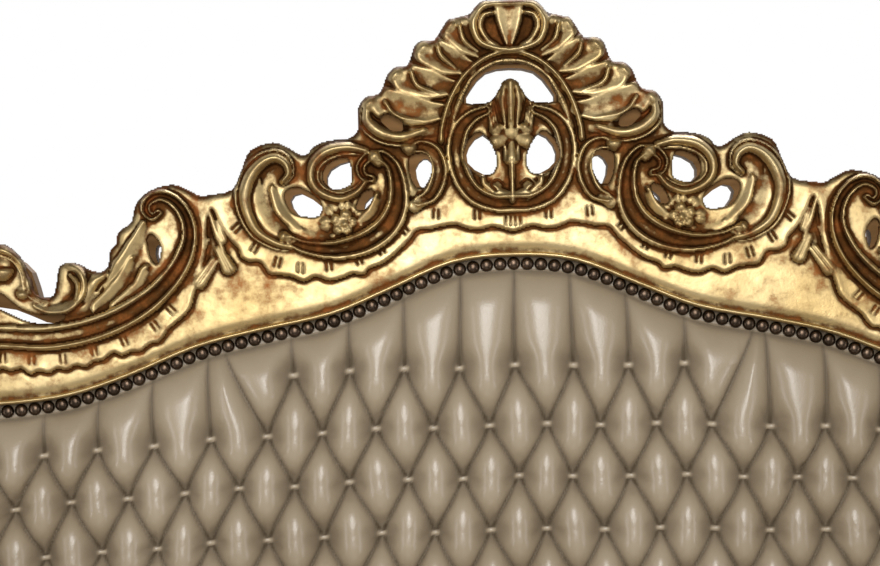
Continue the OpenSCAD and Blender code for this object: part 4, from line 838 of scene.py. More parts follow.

# %% [markdown]
# ## Leather, and the plain finishes
# The hide is glossy and taupe: fine pores, slow wrinkles and a thin coat of polish. Shade in
# the folds and a highlight on each knot are painted into its colour. They follow the lattice of
# tufts and not space, so the tufted back carries them as one attribute, plus for painted shade
# and minus for a painted highlight. The woods, nails, webbing and cloth are each one colour
# with a noise drawn out along the grain.

# %% Leather
def leather(name):
    """Hide: two tones of taupe, darker and duller with the painted shade of the folds, and
    lighter with the painted highlight on the knots.
    """
    m, t, shader = new_material(name)
    pos = place_of(t)
    pores = node(t, "ShaderNodeTexVoronoi", Vector=pos, Scale=480.0).outputs["Distance"]
    wrinkles = node(t, "ShaderNodeTexNoise", Vector=pos, Scale=60.0, Detail=5.0).outputs[0]
    crease = node(t, "ShaderNodeAttribute", _attribute_name="crease").outputs["Fac"]
    skin = mottled(t, pos, 6.0, (0.345, 0.273, 0.184), (0.41, 0.333, 0.234), 4.0)
    # painted shade: darker in the folds, round the knots and along the nails
    colour = mixed(t, crease, skin, (0.085, 0.058, 0.03, 1))
    # painted highlight: lighter on each knot, where the attribute is below zero
    colour = mixed(t, maths(t, "MULTIPLY", crease, -1.0), colour, (0.66, 0.55, 0.4, 1))
    t.links.new(colour, shader.inputs["Base Color"])
    t.links.new(ranged(t, crease, 0.0, 0.8, 0.38, 0.8), shader.inputs["Roughness"])
    t.links.new(ranged(t, crease, 0.0, 0.6, 0.4, 0.0), shader.inputs["Coat Weight"])
    shader.inputs["Specular IOR Level"].default_value = 0.55
    shader.inputs["Coat Roughness"].default_value = 0.26
    b = node(t, "ShaderNodeBump", Strength=0.2, Distance=0.0006, Height=pores)
    b = node(t, "ShaderNodeBump", Strength=0.16, Distance=0.002, Height=wrinkles, Normal=b.outputs[0])
    t.links.new(b.outputs[0], shader.inputs["Normal"])
    return m


hide = leather("leather")
print("leather has", len(hide.node_tree.nodes), "nodes")


# %% Bronze, wood, steel, webbing and cloth
def simple(name, colour, rough, metal=0.0, grain=0.0, stretch=(1, 1, 1)):
    """One colour, darker and lighter by the grain's share with a noise that may be stretched."""
    m, t, shader = new_material(name)
    pos = node(t, "ShaderNodeMapping", Vector=place_of(t), Scale=stretch).outputs[0]
    c = np.array(colour)
    t.links.new(mottled(t, pos, 24.0, c * (1 - grain), c * (1 + grain)), shader.inputs["Base Color"])
    shader.inputs["Roughness"].default_value = rough
    shader.inputs["Metallic"].default_value = metal
    return m


bronze = simple("nail bronze", (0.085, 0.058, 0.04), 0.33, 1.0, 0.4)
beech = simple("beech", (0.42, 0.27, 0.15), 0.55, 0, 0.25, (0.12, 2.5, 2.5))
steel = simple("steel", (0.5, 0.5, 0.52), 0.35, 1.0, 0.05)
jute = simple("webbing", (0.4, 0.31, 0.2), 0.9, 0, 0.2)
cloth = simple("black cloth", (0.02, 0.02, 0.02), 0.95, 0, 0.2)
finish_of = {"crest_rail": shade, "block_screws": steel, "foot_glides": steel, "back_webbing": jute,
    "seat_webbing": jute, "dust_cover": cloth, "outside_back_panel": hide}
for name in ("crest_dowels", "lower_back_rail", "back_upright", "seat_brace", "corner_blocks", "seat_rail_rear"):
    finish_of[name] = beech
for name, ob in nodes.items():
    ob.data.materials.clear()
    ob.data.materials.append(finish_of.get(name, gilt_plain))
print("materials", len(bpy.data.materials))

# %% [markdown]
# ## Cutting the carved pieces
# The field can now be cut up. The middle pieces are whole, and the cups, shoulders and
# rosettes come in pairs, left and right of the centre line. What no zone took is the ruffled
# band with the plain field round it.

# %% Carved pieces
left_half = cell_x < MIDDLE
halves = (("left", left_half), ("right", ~left_half))
for k, (name, _) in enumerate(zones):
    if name.startswith("crest"):
        relief(f"{name}_carving", alive & (label == k), [name], gilt_carved)
    else:
        for side_name, half in halves:
            relief(f"{name}_{side_name}_carving", alive & (label == k) & half, [f"{name}_{side_name}"], gilt_carved)
for side_name, half in halves:
    relief(f"rosette_{side_name}_carving", alive & (label == ROSETTE) & half, [f"rosette_{side_name}"], gilt_carved)
relief("crest_field", alive & (label == FIELD), ["crest_border"], gilt_carved)

# %% [markdown]
# ## The lip beside the nails
# A thin gilt bead runs up both posts and under the crest, just clear of the nails, and hides
# the raw edge of the leather's rebate. A curve object with a bevel would do, but its frame
# may twist. Here each ring of points is set from two unit vectors: across the path, and out
# of the back's plane. The piping and the welt of the seat are made by the same sweep.

# %% Sweep and circle
def sweep(name, path, across, out, section, body="frame", stand_for=(), material=None, closed=False):
    """A tube along a path: each ring is path + section[0] * across + section[1] * out. It is
    closed into a loop, or its ends are capped."""
    path, across, out, section = (np.asarray(v, float) for v in (path, across, out, section))
    n, m = len(path), len(section)
    v = path[:, None] + across[:, None] * section[None, :, :1] + out[:, None] * section[None, :, 1:]
    quads = quads_of(n, m, True, closed)[:, ::-1]
    if closed:
        return plain(name, v.reshape(-1, 3), quads, body, stand_for, material)
    k = np.arange(m)
    first = np.stack([np.full(m, n * m), k, (k + 1) % m], 1)
    last = np.stack([np.full(m, n * m + 1), (n - 1) * m + (k + 1) % m, (n - 1) * m + k], 1)
    verts = np.vstack([v.reshape(-1, 3), v[0].mean(0), v[-1].mean(0)])
    return plain(name, verts, [quads, np.vstack([first, last])], body, stand_for, material)


def circle(rx, ry, n=16):
    """n points of an ellipse: rx times the cosine and ry times the sine of even angles."""
    a = np.linspace(0, 2 * np.pi, n, endpoint=False)
    return np.stack([rx * np.cos(a), ry * np.sin(a)], 1)


print("a round section has", len(circle(1, 1)), "points")

# %% Lip
LIP_OFF, POST_RUN = 9.1, 290
line = nail_path[nail_path[:, 0] > -128]
line = np.vstack([line, [(2 * MIDDLE - x, y) for x, y in line[-2::-1]]]) - [0, LIP_OFF]
down = np.linspace(0, POST_RUN, 60)[1:]
left_side = np.stack([np.full(len(down), line[0, 0]), line[0, 1] + down], 1)[::-1]
lip_line = np.vstack([left_side, line, (left_side * [-1, 1] + [2 * MIDDLE, 0])[::-1]])
lip_path = world(lip_line[:, 0], lip_line[:, 1], 0.001)
run = np.gradient(lip_path, axis=0)
run /= np.linalg.norm(run, axis=1)[:, None]
across = np.cross(run, OUT)
across /= np.linalg.norm(across, axis=1)[:, None]
sweep("crest_lip_bead", lip_path, across, np.cross(across, run), circle(0.0027, 0.0062), "frame", ["crest_lip"],
    gilt_plain)
print("lip points", len(lip_path))

# %% [markdown]
# ## The nails
# Upholstery nails hold the leather's edge: low bronze domes, head to head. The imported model
# has a solid for each, so their places are read from it. A sphere for each would cost
# thousands of faces and look too tall. Each head here is five rings and a tip, all heads in
# one mesh, closed underneath.

# %% Nail head
HEAD_SHARES, HEAD_HEIGHTS = np.array([1.0, 1.0, 0.9, 0.7, 0.42]), np.array([0.0, 0.22, 0.55, 0.82, 0.96])
HEAD_SIDES = 14


def studs(name, centres, across, up, out, radius, tall, stand_for):
    """A dome at each centre: rings at set shares of the radius, each at the height that a
    flattened half round has there, then a tip, and one face underneath."""
    sides, angle = HEAD_SIDES, np.linspace(0, 2 * np.pi, HEAD_SIDES, endpoint=False)
    head = np.stack([np.outer(HEAD_SHARES, np.cos(angle)).ravel() * radius,
        np.outer(HEAD_SHARES, np.sin(angle)).ravel() * radius, np.repeat(HEAD_HEIGHTS * tall, sides)], 1)
    head = np.vstack([head, [[0, 0, tall]]])
    v = centres[:, None] + head[None, :, :1] * across[:, None] + head[None, :, 1:2] * up[:, None]
    v = v + head[None, :, 2:] * out[:, None]
    j, top = np.arange(sides), len(head) - 1 - sides
    tip = np.stack([top + j, top + (j + 1) % sides, np.full(sides, len(head) - 1)], 1)
    step = (np.arange(len(centres)) * len(head))[:, None, None]
    side_faces = quads_of(len(HEAD_SHARES), sides, True)
    faces = [(f[None] + step).reshape(-1, f.shape[1]) for f in (side_faces, tip, j[None, ::-1])]
    return plain(name, v.reshape(-1, 3), faces, "frame", stand_for, bronze)


print("points in a nail head", len(HEAD_SHARES) * HEAD_SIDES + 1)


# %% Nails along the back and the arms
def heads_of(node_name):
    """The middle of each separate solid of a node. Every triangle passes the lowest label of
    its corners on to all three until nothing changes, so joined triangles end up alike."""
    me = nodes[node_name].data
    co = points_of(me)
    _, key = np.unique(np.round(co, 5), axis=0, return_inverse=True)
    tri = np.empty(len(me.loops), np.int32)
    me.loops.foreach_get("vertex_index", tri)
    tri = key.ravel()[tri].reshape(-1, 3)
    mark = np.arange(key.max() + 1)
    while True:
        low, new = mark[tri].min(1), mark.copy()
        for k in range(3):
            np.minimum.at(new, tri[:, k], low)
        if (new == mark).all():
            break
        mark = new
    mark = mark[key.ravel()]
    solids = [co[mark == g] for g in np.unique(mark)]
    return np.array([(c.min(0) + c.max(0)) / 2 for c in solids])


heads = heads_of("back_nails")
head_w = (heads[:, 2] - RAIL_TOP) * COS + (heads[:, 1] - BACK_Y) * SIN
# one vector, n times
same = lambda vector, n: np.tile(np.array(vector, float), (n, 1))
n = len(heads)
studs("back_nail_heads", slope(heads[:, 0], head_w, -0.0049), same([1, 0, 0], n), same([0, SIN, COS], n), same(OUT, n),
    0.0069, 0.0056, ["back_nails"])
print("nails along the back", n)
heads = heads_of("arm_nails")
way, n = np.sign(heads[:, :1]), len(heads)
heads[:, 0] = way[:, 0] * (HALF + 0.0001)
studs("arm_nail_heads", heads, same([0, 1, 0], n) * way, same([0, 0, 1], n), same([1, 0, 0], n) * way, 0.0066, 0.0052,
    ["arm_nails"])
print("nails on the arms", n)

# %% [markdown]
# ## The lattice of tufts
# Deep tufting ties the leather down at the knots and lets it swell between them, with a fold
# from each knot to its neighbours. A cloth simulation over pins would give folds too, but
# not where the photograph has them. So a fine sheet is laid out and each point gets a place
# on the lattice: s counts the rows of knots downward and t the columns. The folds slant, and
# run where a = t + s / 2 or b = t - s / 2 is a whole number.

# %% Lattice coordinates of every point of the sheet
PITCH, ROW_STEP = 55.8, 53
SHEET_COLS, SHEET_ROWS = 661, 300
LOW_W, BEHIND = 0.058, -0.0115
# each row of knots: its height in the drawing, and its bow in ten-thousandths
ROWS = [(365.4, 0.73), (424.5, 0.95), (476, 0.86), (529, 0.8), (582, 0.65), (635, 0.5), (688, 0.35), (741, 0.2),
    (794, 0.1), (847, 0.0)]
half_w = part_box("tufted_back")[1][0] - 0.0008
sheet_x = np.linspace(-1, 1, SHEET_COLS)[None, :] * half_w
drawn_x = sheet_x / UNIT
line_y = np.interp(MIDDLE - np.abs(drawn_x[0]), nail_path[:, 0], nail_path[:, 1])[None, :]
top_w = TOP_W - (line_y - 6.8) * UNIT
sheet_w = LOW_W + (top_w - LOW_W) * np.linspace(0, 1, SHEET_ROWS)[:, None]
drawn_y = (TOP_W - sheet_w) / UNIT
row_y = [y + bow * 1e-4 * drawn_x ** 2 for y, bow in ROWS]
s = 1 + (drawn_y - row_y[0]) / (row_y[1] - row_y[0])
for k in range(1, len(row_y) - 1):
    s = np.where(drawn_y > row_y[k], k + 1 + (drawn_y - row_y[k]) / (row_y[k + 1] - row_y[k]), s)
t = drawn_x / PITCH + 0.5 + 0 * drawn_y
# hand work wanders: slow waves of two hundredths of a pitch
t = t + 0.022 * np.sin(1.9 * s + 1.3 * t) + 0.012 * np.sin(2.9 * t + s)
s = s + 0.02 * np.sin(2.3 * t) * np.clip(s, 0, 1)
a, b = t + s / 2, t - s / 2
near_a, near_b = np.round(a), np.round(b)
knot_s, knot_t = near_a - near_b, (near_a + near_b) / 2
has_knot = ((knot_s > 1.5) | ((knot_s > 0.5) & (np.abs(knot_t) < 4))) * 1.0
print("rows of tufts", len(ROWS), "and pitch", round(PITCH * UNIT * 1000, 1), "mm")

# %% [markdown]
# ## Pillows and pleats
# Between four knots the leather is a pillow. Above the top row it has nothing to be tied to
# and runs straight up in pleats. Under the arch the pleats rise from the first row, and
# outside one long slanting fold on each side, at a = 5 and b = -5, from the second. Each
# region has its own fullness, 0 in a fold and 1 on the crown, and they meet along the folds.

# %% How full each point of the leather is
def pillow(d):
    """Fullness at d half pitches from a fold: 1 minus (1 - d) to the power 2.9, d up to 1."""
    return 1 - (1 - np.clip(d, 0, 1)) ** 2.9


def smooth(x):
    """The smooth step: 3 x squared minus 2 x cubed, between 0 and 1."""
    x = np.clip(x, 0, 1)
    return x * x * (3 - 2 * x)


def from_knot(rows, columns, reach_px=12.0):
    """How far a point is from a knot: 1 minus e to the minus squared distance over squared
    reach, so 0 at the knot and 1 far away."""
    return 1 - np.exp(-((rows * ROW_STEP * 0.8) ** 2 + (columns * PITCH) ** 2) / reach_px ** 2)


central = (b > -5) & (a < 5)
high = s < np.where(central, 1, 2)
slant = np.minimum(np.abs(b + 5), np.abs(a - 5))
rise_1 = np.clip(np.round(t + 0.5) - 0.5, -3.5, 3.5)
rise_2 = np.where(t < 0, np.minimum(np.round(t), -5), np.maximum(np.round(t), 5))
fold_1, fold_2 = np.minimum(np.abs(t - rise_1), slant), np.minimum(np.abs(t - rise_2), slant)
end_left, end_right = central & (a < -3) & (s < 2), central & (b > 3) & (s < 2)
gap_a = np.where(end_left, np.abs(a + 3), np.abs(a - near_a))
gap_b = np.where(end_right, np.abs(b - 3), np.abs(b - near_b))
net = (pillow(2 * gap_a) * pillow(2 * gap_b)) ** 0.48
# the pleats flatten toward the nails
near_slant = np.clip(1 - slant, 0, 1) * np.clip(2 * np.minimum(np.abs(a + 3), np.abs(b - 3)), 0, 1)
up_1, up_2 = smooth((1 - s) / 1.5), smooth((2 - s) / 1.5)
far_up = np.where(s > 2, 0, np.where(central, up_1 + (up_2 - up_1) * near_slant, up_2))
pleat_1 = (pillow(2 * np.abs(t - rise_1)) * pillow(2 * fold_1)) ** (0.48 - 0.15 * far_up)
pleat_2 = pillow(2 * fold_2) ** (0.96 - 0.3 * far_up)
puff = np.where(high, np.where(central, pleat_1, pleat_2), net)
pull_up = np.where(central, from_knot(1 - s, t - rise_1), from_knot(2 - s, t - np.round(t)))
pull = np.where(has_knot > 0, from_knot(s - knot_s, t - knot_t), 1.0)
pull = np.where(high, pull_up * (1 - far_up) + far_up, pull)
swell = (0.3 + 0.7 * pull) * (0.25 * pull + 0.75 * (1 - (1 - 0.4 * far_up) * (1 - puff)))
print("fullness from", round(float(swell.min()), 3), "to", round(float(swell.max()), 3))

# %% [markdown]
# ## The surface of the leather and its painted shade
# The fullness becomes a height of up to 31 mm, which rolls down to the rebate at the edges.
# Each pillow gets a little more or less filling, each knot a small raised pleat and short
# puckers round it. A tint paints shade into the same folds, round each knot and along the
# nails, and a highlight on each knot, which the lamps alone would not give.

# %% Height and painted shade
THICK, SUNK = 0.036, -0.0052
MM = 1000
# a share that looks random: what a large multiple of a sine has after the point
chance = lambda p, q: (np.sin(p * 12.9898 + q * 78.233) * 43758.5453) % 1
beside = np.minimum((half_w - np.abs(sheet_x)) * MM, (sheet_w - LOW_W) * MM + 14)
below = (top_w - sheet_w) * MM
roll_below = round_over((below - 15) / 38) * (0.72 + 0.28 * round_over((below - 15) / 85))
roll = np.minimum(round_over((beside - 15) / 38), roll_below)
cell_a = np.where(high & central, np.round(t), np.where(high, np.floor(t) + 1, np.floor(a)))
cell_b = np.where(high & central, np.round(t) - 1, np.where(high, np.floor(t) - 1, np.floor(b)))
filling = 0.9 + 0.1 * chance(cell_a, cell_b)
lift = SUNK + THICK * roll * (0.1 + 0.9 * swell * filling)
knot_x, knot_y = (t - knot_t) * PITCH, (s - knot_s) * ROW_STEP
lift += 0.0046 * has_knot * np.exp(-(knot_x / 4) ** 2 - (knot_y / 3) ** 2)
pucker_ring = np.exp(-((np.hypot(knot_x, knot_y) - 12) / 5) ** 2)
pucker_waves = np.cos(5 * np.arctan2(knot_y, knot_x) + 6.283 * chance(near_a, near_b))
lift += 0.0013 * has_knot * pucker_ring * pucker_waves * (0.5 + chance(near_b, near_a))

gap_px = PITCH * np.where(high, np.where(central, fold_1, fold_2), np.minimum(gap_a, gap_b))
# painted shade: a dark line in each fold with a wider soft shade beside it, and a shade round each knot
painted_shading = 0.62 * np.exp(-(gap_px / 1.9) ** 2) + 0.14 * np.exp(-(gap_px / 6.5) ** 2)
painted_shading += 0.55 * has_knot * np.exp(-(knot_x / 13) ** 2 - (knot_y / 10) ** 2)
# the fold shade weakens near the edges, and a painted shadow lies along the nails
painted_shading = painted_shading * np.clip(np.minimum(beside, below) / 26, 0.35, 1) + 0.85 * np.exp(-(below / 11) ** 2)
# a painted highlight on each knot, carried as a minus
knot_highlight = has_knot * np.exp(-(knot_x / 4.1) ** 4 - ((knot_y - 0.5) / 2.3) ** 4)
painted_shading = np.clip(painted_shading * (1 - knot_highlight) - 0.75 * knot_highlight, -1, 1)
print("lift in mm", round(float(lift.min()) * MM, 1), "to", round(float(lift.max()) * MM, 1))

# %% [markdown]
# ## The padded back as one piece
# The sheet alone would be paper. Its rim is carried down into the rebate as a skirt, and the
# skirt is closed by triangles round one point, so that the piece is a solid.

# %% Tufted back
front = slope(sheet_x + 0 * sheet_w, sheet_w, lift).reshape(-1, 3)
border = rim_of(SHEET_ROWS, SHEET_COLS)
skirt = slope((sheet_x + 0 * sheet_w).ravel()[border], sheet_w.ravel()[border], BEHIND)
middle_point = slope(np.array([0.0]), np.array([0.3]), BEHIND)
n, m, k = len(front), len(border), np.arange(len(border))
skirt_faces = np.stack([border, n + k, n + (k + 1) % m, border[(k + 1) % m]], 1)
back_faces = np.stack([np.full(m, n + m), n + (k + 1) % m, n + k], 1)
tufted = plain("tufted_back_leather", np.vstack([front, skirt, middle_point]),
    [quads_of(SHEET_ROWS, SHEET_COLS), skirt_faces, back_faces], "frame", ["tufted_back"], hide)
# the skirt and the back get a middling painted shade
attribute(tufted, "crease", np.concatenate([painted_shading.ravel(), np.full(m + 1, 0.5)]))
print("tufted back", n, "points")

# %% [markdown]
# ## The deck and the bench cushion
# A bench cushion is a boxed case, two panels and a side band, piped along its seams, over a
# sprung deck. It could be a subdivided cube that is inflated, but its corners would be hard
# to set. Here it is a stack of rings, each a rounded rectangle drawn in by some inset at
# some height, from the middle of the underside to the middle of the top.

# %% Rounded rectangles and cushions
def rounded(hx, hy, r, n=60):
    """A rounded rectangle as 4 n points with outward normals. The points are spread evenly
    from the middle of the right side, so that each has a mirror twin. A point on a side is
    the side's middle plus its way along it, and one on a corner is the centre plus r times
    the normal."""
    straight = [2 * (hx - r), 2 * (hy - r)]
    arc = np.pi * r / 2
    total = 2 * sum(straight) + 4 * arc
    dist = (np.arange(4 * n) / (4 * n) * total + hy - r) % total
    points, normals = np.zeros((4 * n, 2)), np.zeros((4 * n, 2))
    start = 0
    for k in range(4):
        angle = k * np.pi / 2
        outward, along = np.array([np.cos(angle), np.sin(angle)]), np.array([-np.sin(angle), np.cos(angle)])
        far, side = (hx, hy) if k % 2 == 0 else (hy, hx)
        length = straight[(k + 1) % 2]
        on = (dist >= start) & (dist < start + length)
        points[on] = outward * far + along * (dist[on] - start - (side - r))[:, None]
        normals[on] = outward
        start += length
        on = (dist >= start) & (dist < start + arc)
        turn = (dist[on] - start) / r
        normals[on] = np.outer(np.cos(turn), outward) + np.outer(np.sin(turn), along)
        points[on] = outward * (far - r) + along * (side - r) + r * normals[on]
        start += arc
    return points, normals


def cushion(name, centre, hx, hy, r, profile, stand_for, body, n=60, wave=0.0):
    """Rings from the bottom middle to the top middle, each with an inset and a height from
    the profile. A slow wave, the product of a sine across and a sine along, keeps the top
    from lying dead flat. The two ends are closed by strips straight across."""
    rings = []
    for inset, z in profile:
        corner = max(min(r - inset * 0.5, min(hx, hy) - inset - 0.0004), 0.0004)
        p, _ = rounded(hx - inset, hy - inset, corner, n)
        waves = wave * np.sin(p[:, 0] * 9 + 1) * np.sin(p[:, 1] * 11 + 2)
        rings.append(np.column_stack([p, z + waves * np.clip(inset / 0.05, 0, 1) * np.clip(z / 0.05, 0, 1)]))
    m, c = 4 * n, np.arange(1, 2 * n - 1)
    end = 0 if hx > hy else n
    strips = (end + np.stack([c, c + 1, -c - 1, -c], 1)) % m
    tips = (end + np.array([[0, 1, -1], [2 * n - 1, 2 * n, 2 * n + 1]])) % m
    top = (len(rings) - 1) * m
    faces = [quads_of(len(rings), m, True), strips[:, ::-1], strips + top, tips[:, ::-1], tips + top]
    ob = plain(name, np.array(rings).reshape(-1, 3) + centre, faces, body, stand_for, hide)
    print(name, len(ob.data.vertices), "points")


print("points round a cushion", len(rounded(0.6, 0.3, 0.04)[0]))

# %% Seat deck
low, high_end = box_of("seat_deck")
tall, wide = high_end[2] - low[2], (high_end[1] - low[1]) / 2
to_middle, share = 0.96 * wide, np.linspace(0, 1, 14)
profile = [(to_middle * (1 - u), 0) for u in share[:-1]] + [(0, 0.3 * tall), (0, 0.7 * tall)]
profile += [(to_middle * u ** 1.5, tall * (1 - 0.18 * (1 - u) ** 2.4)) for u in share[1:]]
cushion("seat_deck_cover", [0, (low[1] + high_end[1]) / 2, low[2]], high_end[0], wide, 0.02, profile, ["seat_deck"],
    "frame")

# %% [markdown]
# ## The bench cushion's section
# Seen from the side, a bench cushion is flat below, goes round a tight seam into a band that
# bellies out by 4 mm, round the upper seam, and then rises fast to a soft crown of 16 mm. Each
# part is one line of the profile, and its corner is bigger than the deck's.

# %% Bench cushion
BENCH_TALL, CROWN = 0.102, 0.016
side_h = BENCH_TALL - CROWN
low, high_end = box_of("seat_cushion")
hx, hy, middle_y = high_end[0], (high_end[1] - low[1]) / 2, (low[1] + high_end[1]) / 2
profile = [(hy * 0.96 * (1 - u) + 0.012 * u, 0.0) for u in np.linspace(0, 1, 16)[:-1]]
profile += [(0.012, 0.0), (0.005, 0.003), (0.001, 0.008), (0.0005, 0.012)]
profile += [(-0.004 * math.sin(math.pi * u), 0.012 + (side_h - 0.026) * u) for u in np.linspace(0, 1, 14)[1:-1]]
profile += [(0.0005, side_h - 0.014), (0.002, side_h - 0.009), (0.007, side_h - 0.003)]
profile += [(0.007 + (hy * 0.96 - 0.007) * u, side_h - 0.003 + (CROWN + 0.003) * (1 - (1 - min(u * 1.25, 1)) ** 2.4))
    for u in np.linspace(0, 1, 26)[1:]]
cushion("bench_cushion", [0, middle_y, low[2]], hx - 0.001, hy - 0.001, 0.042, profile, ["seat_cushion"], "cushion",
    90, 0.0018)

# %% [markdown]
# ## Piping and welt
# Piping is a cord in a strip of the same leather, sewn into a seam: two lines of it go round
# the cushion, and one thin welt round the deck. Each is the sweep again, closed into a loop,
# round a rounded rectangle at one height.

# %% Piping round the cushion and the deck's welt
def piping(name, hx, hy, r, n, centre_y, z, thick, sides, body, stand_for=()):
    """A round cord of radius thick along a rounded rectangle at height z."""
    p, normals = rounded(hx, hy, r, n)
    path = np.column_stack([p, np.full(len(p), z)]) + [0, centre_y, 0]
    ob = sweep(name, path, np.column_stack([normals, np.zeros(len(p))]), same([0, 0, 1], len(p)),
        circle(thick, thick, sides), body, stand_for, hide, closed=True)
    return ob


for name, share in (("cushion_piping_low", 0.14), ("cushion_piping_high", 0.84)):
    piping(name, hx + 0.0035, hy + 0.0035, 0.045, 90, middle_y, low[2] + share * side_h, 0.0042, 12, "cushion",
        ["cushion_piping"])
welt = piping("seat_deck_welt", 0.6612, 0.2542, 0.02, 60, -0.1082, 0.3031, 0.0031, 10, "frame")
print("cushion", round(float(hx * 2), 3), "by", round(float(hy * 2), 3), "m")

# %% [markdown]
# ## Padded arms
# An open arm has a small upholstered rest on its rail, and leather inside and outside below
# it. The rest is the cushion again, with a profile that goes up the side and over in a
# quarter turn. The panels are thin padded sheets, whose rear edge follows the leaning back.
# A sheet is a grid for the face, a flat grid behind, and walls round the rim.

# %% Arm pads
for side_name in ("left", "right"):
    low, high_end = box_of(f"arm_pad_{side_name}")
    tall, wide = high_end[2] - low[2], (high_end[0] - low[0]) / 2
    profile = [(wide * 0.9 * (1 - u), 0) for u in np.linspace(0, 1, 6)[:-1]] + [(0.0015, 0.0005)]
    profile += [(wide * 0.97 * (1 - math.cos(u)) ** 1.2, 0.004 + (tall - 0.004) * math.sin(u) ** 0.9)
        for u in np.linspace(0, math.pi / 2, 22)]
    centre = [(low[0] + high_end[0]) / 2, (low[1] + high_end[1]) / 2, low[2]]
    cushion(f"arm_pad_{side_name}_cover", centre, wide, (high_end[1] - low[1]) / 2, wide * 0.95, profile,
        [f"arm_pad_{side_name}"], "frame", 40)


# %% Arm panels
def closed_sheet(name, stand_for, front, back, order):
    """Two grids of the same size, a face and a back, with walls round the rim. order is how a
    quad takes its corners so that it looks outward; the back takes them the other way."""
    rows, cols, _ = front.shape
    n, quads, border = rows * cols, quads_of(rows, cols), rim_of(rows, cols)
    after = np.roll(border, -1)
    wall = np.stack([border, n + border, n + after, after], 1)
    faces = np.vstack([quads[:, order], quads[:, order[::-1]] + n, wall[:, order]])
    ob = plain(name, np.vstack([front.reshape(-1, 3), back.reshape(-1, 3)]), faces, "frame", [stand_for], hide)


def side_panel(name, node_name, inner, roll):
    """A sheet in the y-z plane with a rounded edge that is roll metres wide. Its rear edge
    goes from the node's rearmost point at the bottom to its rearmost point at the top."""
    low, high = box_of(node_name)
    face = -1 if inner == (low[0] > 0) else 1
    x_front, x_back = (low[0], high[0]) if face < 0 else (high[0], low[0])
    co = points_of(nodes[node_name].data).astype(float)
    rear = [co[co[:, 2] < low[2] + 0.002][:, 1].max(), co[co[:, 2] > high[2] - 0.002][:, 1].max()]
    u, v = np.linspace(0, 1, 61)[None, :], np.linspace(0, 1, 49)[:, None]
    z = low[2] + (high[2] - low[2]) * v + 0 * u
    y = low[1] + (np.interp(z, [low[2], high[2]], rear) - low[1]) * u
    edge = np.minimum(np.minimum(u, 1 - u) * (high[1] - low[1]), np.minimum(v, 1 - v) * (high[2] - low[2]))
    x = x_back + face * abs(x_front - x_back) * (0.25 + 0.75 * round_over(edge / roll))
    order = [3, 2, 1, 0] if face < 0 else [0, 1, 2, 3]
    closed_sheet(name, node_name, np.stack([x, y, z], -1), np.stack([x_back + 0 * x, y, z], -1), order)


for side_name in ("left", "right"):
    side_panel(f"arm_inner_{side_name}_leather", f"arm_inner_panel_{side_name}", True, 0.03)
    side_panel(f"arm_outer_{side_name}_leather", f"arm_outer_panel_{side_name}", False, 0.008)
print("arms padded")

# %% [markdown]
# ## The gilt frame below the crest
# Carved and gilded wood has no sharp edge anywhere: gesso rounds it all. A bevel would fail
# on the joints of such solids. So each node is copied, its corners are merged, a voxel remesh
# turns it into an even skin, and a few rounds of relaxing take the edges off. The nodes stay
# as they are, and the copy stands for them.

# %% Softened copies
def softened(name, node_name, voxel, passes, carve=None):
    """A smooth copy of a node. Its vertices then move along their normals by the metres that
    carve gives for their places and normals."""
    bm = bmesh.new()
    bm.from_mesh(nodes[node_name].data)
    bmesh.ops.remove_doubles(bm, verts=bm.verts, dist=1e-5)
    rough = bpy.data.meshes.new(name)
    bm.to_mesh(rough)
    bm.free()
    block = bpy.data.objects.new(name + "_tmp", rough)
    bpy.context.scene.collection.objects.link(block)
    remesh = block.modifiers.new("remesh", "REMESH")
    remesh.mode, remesh.voxel_size, remesh.adaptivity = "VOXEL", voxel, 0.0
    relax = block.modifiers.new("relax", "SMOOTH")
    relax.factor, relax.iterations = 0.5, passes
    me = bpy.data.meshes.new_from_object(block.evaluated_get(bpy.context.evaluated_depsgraph_get()))
    bpy.data.objects.remove(block)
    me.name = name
    if carve:
        co, normal = points_of(me), points_of(me, "normal")
        co = co + normal * carve(co, normal)[:, None]
        me.vertices.foreach_set("co", co.astype(np.float32).ravel())
    me.polygons.foreach_set("use_smooth", np.ones(len(me.polygons), bool))
    ob = bpy.data.objects.new(name, me)
    bpy.context.scene.collection.objects.link(ob)
    me.materials.clear()
    me.materials.append(gilt_plain)
    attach(ob, "frame")
    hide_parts(node_name)
    print(name, len(me.vertices))


print("softening helper ready")

# %% [markdown]
# ## Ornament on the legs, arms and apron
# A leaf lies on each knee, husks run along the arms and their posts, and the apron's swags
# are twisted like rope. All three are shallow ribs, so a wave in the vertex's own place is
# enough: a V about the middle line for the leaf, slanting bands for the husks and the ropes.

# %% Knee leaf, husk and rope
def axis_of(name):
    """The middle of a leg's top face, across and front to back."""
    co = points_of(nodes[name].data).astype(float)
    top = co[co[:, 2] > box_of(name)[1][2] - 0.005]
    return (top[:, 0].min() + top[:, 0].max()) / 2, (top[:, 1].min() + top[:, 1].max()) / 2


